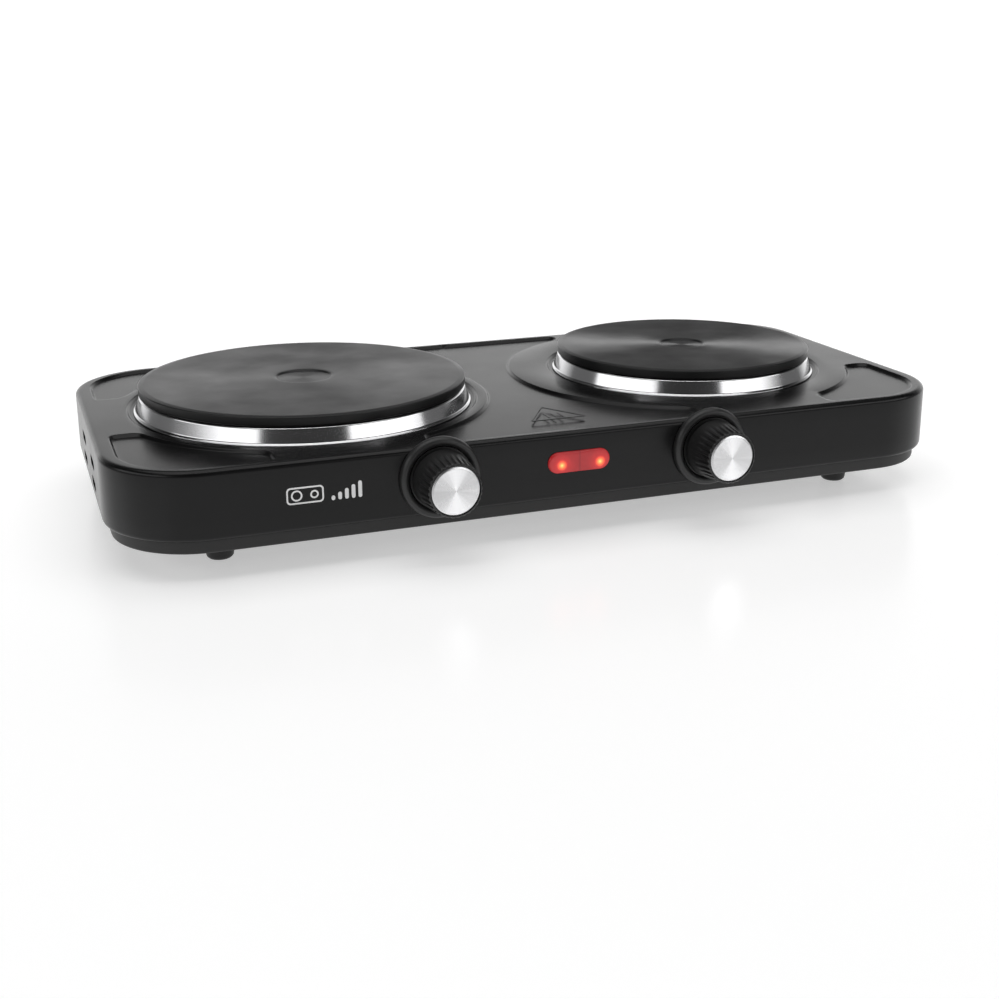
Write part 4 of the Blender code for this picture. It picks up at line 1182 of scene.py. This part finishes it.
@dataclass
class Control:
    """A ribbed knob with a spun metal cap, in a round bezel."""

    side: Side
    ribs: int = 30
    rib_height: float = 0.00085
    taper: float = 0.885
    lip: float = 0.0014
    steps: int = 480
    bezel_steps: int = 128
    cap_steps: int = 160

    def __post_init__(self) -> None:
        """Takes the knob's, the cap's and the bezel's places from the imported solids."""
        low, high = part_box(f"{self.side.value}_knob")
        self.x, self.z = (low.x + high.x) / 2, (low.z + high.z) / 2
        self.base_radius = (high.x - low.x) / 2
        self.knob_front, self.knob_back = low.y, high.y
        low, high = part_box(f"{self.side.value}_knob_cap")
        self.cap_radius, self.cap_front, self.cap_back = (high.x - low.x) / 2, low.y, high.y
        low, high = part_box(f"{self.side.value}_bezel")
        self.bezel_radius, self.bezel_front, self.bezel_back = (high.x - low.x) / 2, low.y, high.y

    def skirt(self) -> Sheet:
        """The knob's ribbed outside, with its front rim and its open back.

        A profile of radius against distance forward is carried round the axis. On the skirt the radius loses a
        rib's height times a rounded wave of the angle, and the grooves deepen from the middle of the skirt to its
        front.

        Returns:
            The surface, about +Z, with z measured forwards from the knob's back.
        """
        length = self.knob_back - self.knob_front
        front_radius = self.base_radius * self.taper
        stations = [0.0, 0.3, 1.0, 3.0, 6.0, 9.0, 11.5, 13.5, 15.0, 16.0, 17.0, 17.8]
        tail = np.array(stations) / stations[-1] * (length - self.lip)
        share = tail / length
        radius = self.base_radius + (front_radius - self.base_radius) * share**1.15
        radius[0] -= 0.00035
        strength = smooth_step((share - 0.36) / 0.30)
        strength[0] = 0.0
        lip_turn = np.linspace(0, math.pi / 2, 5)[1:]
        lip_z = length - self.lip + self.lip * np.sin(lip_turn)
        lip_r = radius[-1] - 0.0013 * (1 - np.cos(lip_turn))
        seat = self.cap_radius + 0.0001
        inner = [(seat + 0.00005, length), (seat, length - 0.0005), (seat, length - 0.0016)]
        inner += [(0.0052, length - 0.0019), (0.0, length - 0.0019)]
        inner_r, inner_z = np.array(inner).T
        profile_r = np.concatenate([[0.0, 0.0030, self.base_radius - 0.0022], radius, lip_r, inner_r])
        profile_z = np.concatenate([[length * 0.25, length * 0.25, 0.0], tail, lip_z, inner_z])
        wave = np.concatenate([[0, 0, 0], strength, np.linspace(0.5, 0.0, len(lip_r)), np.zeros(len(inner_r))])
        angle = np.linspace(0, TAU, self.steps, endpoint=False)
        crest = 0.5 + 0.5 * np.cos(self.ribs * angle)
        tooth = smooth_step((crest - 0.12) / 0.62) - 1.0
        r = profile_r[None] + tooth[:, None] * wave[None] * self.rib_height
        points = np.stack([r * np.cos(angle)[:, None], r * np.sin(angle)[:, None], profile_z[None] + 0 * r], axis=2)
        return Sheet(points, True, False)

    def cap(self) -> Sheet:
        """The cap: a flat disc with a rolled edge and a hollow back.

        Returns:
            The surface, about +Z, with z measured forwards from the cap's back.
        """
        depth, r = self.cap_back - self.knob_front + 0.00012, self.cap_radius - 0.0002
        face = [(0.0, depth), (r - 0.0012, depth - 0.00002), (r - 0.0001, depth - 0.0005), (r, 0.0)]
        corners = face + [(r - 0.0006, 0.0), (r - 0.0008, depth - 0.0008), (0.0, depth - 0.0008)]
        profile = rounded(corners, [0, 0.0006, 0.0005, 0.0001, 0.0001, 0.0002, 0], 4, closed=False)
        return turned(profile, self.cap_steps, False)

    def bezel(self) -> Sheet:
        """The bezel: a fat hoop that falls inwards to the hole that the knob turns in.

        Returns:
            The surface, about +Z, with z measured forwards from the wall.
        """
        depth, r = self.bezel_back - self.bezel_front, self.bezel_radius
        turn = np.linspace(0, math.pi, 15)
        inner = self.base_radius + 0.0005
        half, rise = (r - inner) / 2, min(0.0030, depth - 0.0008)
        floor = min(0.0030, max(0.0011, self.bezel_back - self.knob_back - 0.0004))
        hoop = np.column_stack([r - half + half * np.cos(turn), (depth - rise) + rise * np.sin(turn)])
        corners = np.vstack([[(r, 0.0)], hoop, [(inner, floor), (0.0062, floor), (0.0062, 0.0)]])
        return turned(corners, self.bezel_steps)

    def build(self) -> None:
        """Makes the knob, cap and bezel."""
        side = self.side.value
        origin = (self.x, self.knob_back, self.z)
        knob = mesh_of(f"{side}_knob_skirt", [facing_front(self.skirt(), origin)])
        finished(knob, KNOB_BLACK, f"{side}_control", [f"{side}_knob"], 45)
        middle = (self.x, self.cap_front, self.z)
        # The cap's colour has highlight wedges painted in, above and below its middle.
        spun = SpunMetal(
            f"{side}_cap_spun", (0.80, 0.80, 0.81), middle, roughness=0.27, streak=0.9,
            pitch=0.0004, depth=0.000002, contrast=0.22, highlight_wedges=0.75, turn=0.0,
        )
        cap = mesh_of(f"{side}_cap_disc", [facing_front(self.cap(), (self.x, self.cap_back, self.z))])
        finished(cap, spun, f"{side}_control", [f"{side}_knob_cap"], 35)
        bezel = mesh_of(f"{side}_bezel_hoop", [facing_front(self.bezel(), (self.x, self.bezel_back, self.z))])
        finished(bezel, BEZEL_BLACK, "case", [f"{side}_bezel"], 50)


@dataclass
class Indicator:
    """The long red lens with two lit lamps behind it."""

    wall: float = 0.0011
    edge: float = 0.0011
    steps: int = 28

    def lens_profile_sheet(self) -> tuple[Sheet, Sheet]:
        """The lens as rings of its own pill outline: a domed face, side wall, hollow back, and a dividing web.

        Returns:
            The lens, and the web down its middle.
        """
        low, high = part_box("indicator_lens")
        length, width, depth = high.x - low.x, high.z - low.z, high.y - low.y
        centre = ((low.x + high.x) / 2, high.y, (low.z + high.z) / 2)
        half = width / 2
        wall, hollow, edge = self.wall, depth - self.wall, self.edge
        swing = np.linspace(0, math.pi / 2, 7)
        insets = [half * 0.999, wall + 0.0012, wall + 0.0004, wall + 0.0002, wall, 0.0006, 0.0]
        levels = [hollow, hollow, hollow - 0.0002, hollow - 0.0008, 0.0, 0.0, 0.0006]
        insets += [*(edge * (1 - np.cos(swing))), half * 0.5, half * 0.8, half * 0.999]
        levels += [*(depth - edge + edge * np.sin(swing)), depth, depth, depth]
        rings = []
        for inset, level in zip(insets, levels):
            outline = slot_outline(length - 2 * inset, width - 2 * inset, self.steps)
            rings.append(np.column_stack([outline, np.full(len(outline), level)]))
        lens = Sheet(np.stack(rings, axis=1), True, False)
        thin, tall = 0.0005, half - 0.0012
        web_outline = rounded([(-thin, -tall), (thin, -tall), (thin, tall), (-thin, tall)], [0.0002] * 4, 2)
        web = prism(web_outline, 0.0004, hollow - 0.00005)
        return facing_front(lens, centre), facing_front(web, centre)

    def build(self) -> None:
        """Makes the lens and the web down its middle."""
        lens, web = self.lens_profile_sheet()
        finished(mesh_of("lens_pill", [lens]), RED_LENS, "case", ["indicator_lens"], 40)
        finished(mesh_of("lens_web", [web]), HOLDER, "case")


# ---------------------------------------------------------------- small parts


@dataclass
class Foot:
    """A rubber foot with a well for its screw."""

    name: str
    screw_hole: float = 0.0017
    well: float = 0.0038
    well_height: float = 0.0040
    steps: int = 64

    def build(self) -> None:
        """Makes the foot: a round-edged button, wider at the case, with a well in its sole for the screw."""
        low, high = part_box(self.name)
        x, y = (low.x + high.x) / 2, (low.y + high.y) / 2
        height, r = high.z - low.z, (high.x - low.x) / 2
        sole = r * 0.70
        corners = [
            (self.screw_hole, height), (self.screw_hole, self.well_height), (self.well, self.well_height),
            (self.well, 0.0002), (self.well + 0.0003, 0.0), (sole, 0.0),
            (r * 0.86, 0.0012), (r - 0.0002, height * 0.55), (r, height - 0.0012), (r - 0.0006, height),
        ]
        profile = rounded(corners, [0, 0.0003, 0.0003, 0, 0.0001, 0.0009, 0.002, 0.002, 0.0006, 0.0002], 4)
        mesh = mesh_of(f"{self.name}_rubber", [turned(profile, self.steps).moved((x, y, low.z))])
        finished(mesh, RUBBER, "case", [self.name], 40)


@dataclass
class CordGland:
    """The gland on the back wall that the cord would come in through, with strain-relief rings."""

    bore: float = 0.0042
    neck: float = 0.0060
    rings: int = 3
    steps: int = 96

    def build(self) -> None:
        """Makes the gland: flange, ribbed nose and clear bore."""
        low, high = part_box("cord_gland")
        flange = (high.x - low.x) / 2
        x, z = (low.x + high.x) / 2, (low.z + high.z) / 2
        wall = self.wall_y()
        inside, outside = low.y - wall, high.y - wall
        corners = [(self.bore, inside), (self.neck, inside), (self.neck, 0.0001)]
        corners += [(flange, 0.0001), (flange, 0.0022), (0.0070, 0.0026)]
        radii = [0.0003, 0.0003, 0.0, 0.0004, 0.0008, 0.0005]
        for k in range(self.rings):
            start = 0.0030 + k * (outside - 0.0042) / self.rings
            width = 0.0066 - 0.0003 * k
            neck = width - 0.0009
            corners += [(width, start), (width, start + 0.0010), (neck, start + 0.0012), (neck, start + 0.0017)]
            radii += [0.0003, 0.0003, 0.0002, 0.0002]
        corners += [(0.0056, outside - 0.0004), (0.0050, outside), (self.bore, outside)]
        radii += [0.0004, 0.0004, 0.0003]
        nose = facing_back(turned(rounded(corners, radii, 3), self.steps), (x, wall, z))
        mesh = mesh_of("cord_gland_nose", [nose])
        finished(mesh, RUBBER, "case", ["cord_gland"], 40)

    def wall_y(self) -> float:
        """Where the case's back wall stands."""
        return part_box("top_shell")[1].y


@dataclass
class Markings:
    """Generic marks: a printed two-zone sign on the front wall, and a pressed hot-surface sign on the top."""

    ink: float = 0.00008
    line: float = 0.0008
    rise: float = 0.00022
    pressed_in: float = 0.0002
    zone_x: float = -0.1350
    zone_rise: float = 0.0254
    pressed_y: float = -0.0762

    def ring_band(self, outer: Array, inner: Array) -> Sheet:
        """A flat band between two outlines, with the ink's thickness, about +Z.

        Args:
            outer: The outer outline.
            inner: The inner outline, with as many points.

        Returns:
            The surface.
        """
        rings = [(outer, 0.0), (outer, self.ink), (inner, self.ink), (inner, 0.0)]
        points = np.stack([np.column_stack([ring, np.full(len(ring), level)]) for ring, level in rings], axis=1)
        return Sheet(points, True, True)

    def zone_sign(self, centre: Sequence[float]) -> list[Sheet]:
        """A hob seen from above, an outline round a large and a small ring, and five bars that grow like its heat.

        Args:
            centre: The sign's middle, on the front wall.

        Returns:
            The bands and bars, in place.
        """
        width, height, line, middle = 0.0185, 0.0086, self.line, -0.0095
        corners = np.array([(-1, -1), (1, -1), (1, 1), (-1, 1)])
        outer = rounded(corners * [width / 2, height / 2], [0.002] * 4, 6)
        inner = rounded(corners * [width / 2 - line, height / 2 - line], [0.0014] * 4, 6)
        bands = [self.ring_band(outer + [middle, 0], inner + [middle, 0])]
        for shift, radius in ((-0.0042, 0.0028), (0.0046, 0.0021)):
            ring = round_outline(radius) + [shift + middle, 0]
            bore = round_outline(radius - line) + [shift + middle, 0]
            bands.append(self.ring_band(ring, bore))
        for k in range(5):
            tall = height * (k + 1.6) / 5.6
            bar = slot_outline(tall, 0.0019, 6)[:, ::-1] + [0.0044 + 0.0034 * k, (tall - height) / 2]
            bands.append(prism(bar[::-1], 0.0, self.ink))
        return [facing_front(band, centre) for band in bands]

    def pressed_sign(self, top: float, centre: Sequence[float]) -> list[Sheet]:
        """A raised triangle outline over three short bars, as a plain hot-surface sign.

        Args:
            top: The height of the top that it is pressed in.
            centre: The sign's middle, (x, y).

        Returns:
            The triangle and the bars, in place.
        """
        height = 0.0266
        corners = np.array([(-0.0165, -height / 2), (0.0165, -height / 2), (0.0, height / 2)])
        middle = corners.mean(axis=0)
        outer = rounded(corners, [0.0012] * 3, 6)
        inner = rounded(middle + (corners - middle) * 0.90, [0.0006] * 3, 6)
        rise, sunk = self.rise, -self.pressed_in
        ridge_out, ridge_in = middle + (outer - middle) * 0.985, middle + (inner - middle) * 1.02
        rings = [(outer, sunk), (ridge_out, rise), (ridge_in, rise), (inner, sunk)]
        points = np.stack([np.column_stack([ring, np.full(len(ring), level)]) for ring, level in rings], axis=1)
        place = (centre[0], centre[1], top)
        out = [Sheet(points, True, True).moved(place)]
        for k in range(3):
            bar = slot_outline(0.0085, self.line, 6)[:, ::-1] + [(k - 1) * 0.0040, -0.0052]
            out.append(prism(bar[::-1], sunk, rise).moved(place))
        return out

    def build(self, case: Case) -> None:
        """Makes the marks, each in its own finish.

        Args:
            case: The case that they are on.
        """
        front = case.centre[1] - case.depth / 2
        sign = mesh_of("zone_sign", self.zone_sign((self.zone_x, front, case.foot + self.zone_rise)))
        finished(sign, PRINT_WHITE, "case")
        pressed = mesh_of("pressed_sign", self.pressed_sign(case.top, (0.0, case.centre[1] + self.pressed_y)))
        finished(pressed, CASE_PAINT, "case")


# ---------------------------------------------------------------- inner parts

DRESS: dict[str, tuple[object, str]] = {
    "_screw": (ZINC, "zinc_steel"),
    "_centre_bolt": (ZINC, "zinc_steel"),
    "_bolt_nut": (ZINC, "zinc_steel"),
    "_bush_nut": (ZINC, "zinc_steel"),
    "_clamp_strap": (ZINC, "zinc_steel"),
    "_cover_pan": (ZINC, "zinc_steel"),
    "_spindle": (ZINC, "zinc_steel"),
    "cord_clamp": (ZINC, "zinc_steel"),
    "_knob_spring": (SPRING_STEEL, "zinc_steel"),
    "_heating_coil": (SHEATH, "resistance_wire"),
    "_plate_terminal": (CERAMIC, "ceramic"),
    "_thermostat": (CERAMIC, "ceramic"),
    "_setting_pin": (CERAMIC, "ceramic"),
    "_contact_arm": (BRASS, "brass"),
    "_neon_lamp": (LAMP_GLASS, "lamp_glass"),
    "lamp_holder": (HOLDER, "holder_plastic"),
    "mains_terminal": (TERMINAL, "terminal_plastic"),
    "_lead": (SLEEVE, "wire_sleeve"),
}


@dataclass
class InnerParts:
    """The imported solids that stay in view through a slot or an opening, each in its own finish."""

    def build(self) -> int:
        """Dresses every node that nothing stands for.

        Returns:
            How many nodes it dressed.
        """
        count = 0
        for item in bpy.data.objects:
            if item.type != "MESH":
                continue
            for ending, (finish, _) in DRESS.items():
                if item.name.endswith(ending):
                    item.data.materials.clear()
                    item.data.materials.append(finish.material())
                    count += 1
                    break
        return count


# ---------------------------------------------------------------- studio


@dataclass(frozen=True)
class Softbox:
    """A square area light: where it hangs, what it aims at, its size and its power in watts."""

    name: str
    place: tuple[float, float, float]
    aim: tuple[float, float, float]
    size: tuple[float, float]
    power: float


@dataclass
class Studio:
    """The pale floor, the light and the camera."""

    camera_place: tuple[float, float, float] = (-0.27933, -0.74431, 0.25266)
    azimuth: float = -20.405
    elevation: float = 15.99
    roll: float = -0.266
    lens: float = 50.34
    shift: tuple[float, float] = (-0.00289, -0.06075)
    table_glow: float = 0.45
    sky: tuple[tuple[float, float], ...] = (
        (0.0, 1.0), (0.238, 1.0), (0.31, 0.40), (0.42, 0.20), (0.60, 0.04), (0.85, 0.42),
    )
    sky_strength: float = 1.3
    front_share: float = 0.12
    back_way: tuple[float, float, float] = (0.34, 0.94, 0.0)
    boxes: tuple[Softbox, ...] = (
        Softbox("left_box", (-1.36, -0.29, 0.61), (0.0, 0.0, 0.05), (1.7, 0.45), 4.3),
        Softbox("right_box", (0.95, -1.02, 0.61), (0.0, 0.0, 0.05), (1.6, 0.45), 4.3),
        Softbox("overhead", (0.0, 0.1, 1.9), (0.0, 0.0, 0.0), (2.4, 1.8), 17.0),
        Softbox("front_strip", (-0.1, -0.60, 1.55), (0.0, -0.1, 0.05), (2.2, 0.08), 3.0),
    )

    def build_floor(self) -> None:
        """Makes a wide pale floor that runs on to the horizon."""
        across, depth = np.linspace(-14.0, 14.0, 15), np.linspace(-6.0, 22.0, 15)
        points = np.stack(np.broadcast_arrays(across[:, None], depth[None], 0.0), axis=2)
        mesh = mesh_of("studio_floor", [Sheet(points)], outward=False)
        face_along(mesh, 1.0)
        floor = bpy.data.objects.new("studio_floor", mesh)
        bpy.context.scene.collection.objects.link(floor)
        mesh.shade_smooth()
        mesh.materials.append(self.floor_material())

    def floor_material(self) -> bpy.types.Material:
        """A lit white table: even light from within, a slight sheen and the faintest unevenness.

        Returns:
            The material.
        """
        graph = Graph("studio_table")
        factor = graph.spread(graph.noise(1.5, 2.0), 0.0, 1.0)
        graph.surface("Base Color", graph.tint(factor, (0.86, 0.86, 0.86), (0.88, 0.88, 0.88)))
        graph.surface("Roughness", 0.22)
        graph.surface("Specular IOR Level", 0.5)
        graph.surface("Emission Color", (1.0, 1.0, 1.0, 1.0))
        graph.surface("Emission Strength", self.table_glow)
        return graph.material

    def build_surroundings(self) -> None:
        """Sets the surroundings: a bright band low behind, dim above it and in front, and bright overhead.

        The brightness depends only on the direction: on its height, and on how far it points to the back.
        """
        world = bpy.data.worlds.new("studio_world")
        world.use_nodes = True
        tree = world.node_tree
        background = tree.nodes["Background"]
        place = tree.nodes.new("ShaderNodeTexCoord")
        split = tree.nodes.new("ShaderNodeSeparateXYZ")
        tree.links.new(place.outputs["Generated"], split.inputs[0])
        ramp = tree.nodes.new("ShaderNodeValToRGB")
        ramp.color_ramp.interpolation = "EASE"
        marks = ramp.color_ramp.elements
        marks.remove(marks[1])
        marks[0].position, marks[0].color = self.sky[0][0], (*[self.sky[0][1]] * 3, 1.0)
        for position, value in self.sky[1:]:
            marks.new(position).color = (value, value, value, 1.0)
        tree.links.new(split.outputs["Z"], ramp.inputs[0])
        facing = tree.nodes.new("ShaderNodeVectorMath")
        facing.operation = "DOT_PRODUCT"
        tree.links.new(place.outputs["Generated"], facing.inputs[0])
        facing.inputs[1].default_value = self.back_way
        behind = tree.nodes.new("ShaderNodeMapRange")
        for key, value in (("From Min", 0.50), ("From Max", 0.82), ("To Min", self.front_share), ("To Max", 1.0)):
            behind.inputs[key].default_value = value
        tree.links.new(facing.outputs["Value"], behind.inputs["Value"])
        strength = tree.nodes.new("ShaderNodeMath")
        strength.operation = "MULTIPLY"
        tree.links.new(behind.outputs["Result"], strength.inputs[0])
        strength.inputs[1].default_value = self.sky_strength
        tree.links.new(ramp.outputs["Color"], background.inputs["Color"])
        tree.links.new(strength.outputs[0], background.inputs["Strength"])
        bpy.context.scene.world = world

    def build_lights(self) -> None:
        """Hangs the softboxes."""
        for box in self.boxes:
            data = bpy.data.lights.new(box.name, "AREA")
            data.shape = "RECTANGLE"
            data.size, data.size_y = box.size
            data.energy = box.power
            lamp = bpy.data.objects.new(box.name, data)
            bpy.context.scene.collection.objects.link(lamp)
            place = Vector(box.place)
            lamp.location = place
            lamp.rotation_euler = (Vector(box.aim) - place).to_track_quat("-Z", "Y").to_euler()

    def build_camera(self) -> None:
        """Sets the camera by its azimuth, elevation and roll."""
        data = bpy.data.cameras.new("studio_camera")
        data.lens = self.lens
        data.sensor_width = 36.0
        data.shift_x, data.shift_y = self.shift
        data.clip_start, data.clip_end = 0.01, 50.0
        camera = bpy.data.objects.new("studio_camera", data)
        bpy.context.scene.collection.objects.link(camera)
        a, e, r = (math.radians(v) for v in (self.azimuth, self.elevation, self.roll))
        back = Vector((math.sin(a) * math.cos(e), -math.cos(a) * math.cos(e), math.sin(e)))
        right = Vector((math.cos(a), math.sin(a), 0.0))
        up = back.cross(right)
        right, up = right * math.cos(r) + up * math.sin(r), up * math.cos(r) - right * math.sin(r)
        axes = Matrix((right, up, back)).transposed().to_4x4()
        camera.matrix_world = Matrix.Translation(self.camera_place) @ axes
        bpy.context.scene.camera = camera

    def build(self) -> None:
        """Makes the floor, lights and camera, and keeps whites white."""
        self.build_floor()
        self.build_lights()
        self.build_surroundings()
        self.build_camera()
        bpy.context.scene.view_settings.view_transform = "Standard"
        bpy.context.scene.view_settings.look = "None"


# ---------------------------------------------------------------- the whole


def main() -> None:
    """Builds the hot plate's parts in order, then the studio."""
    logging.basicConfig(level=logging.INFO, format="%(name)s: %(message)s")
    case = Case()
    case.build_shell()
    case.build_pan()
    LOG.info("case built")
    for size, dimple in ((Size.LARGE, 0.0160), (Size.SMALL, 0.0140)):
        CookingPlate(size, dimple).build()
        LOG.info("%s plate built", size.value)
    for side in Side:
        Control(side).build()
        LOG.info("%s control built", side.value)
    Indicator().build()
    for ends in ("front_left", "front_right", "rear_left", "rear_right"):
        Foot(f"{ends}_foot").build()
    CordGland().build()
    Markings().build(case)
    LOG.info("%d inner parts dressed", InnerParts().build())
    Studio().build()


if __name__ == "__main__":
    main()
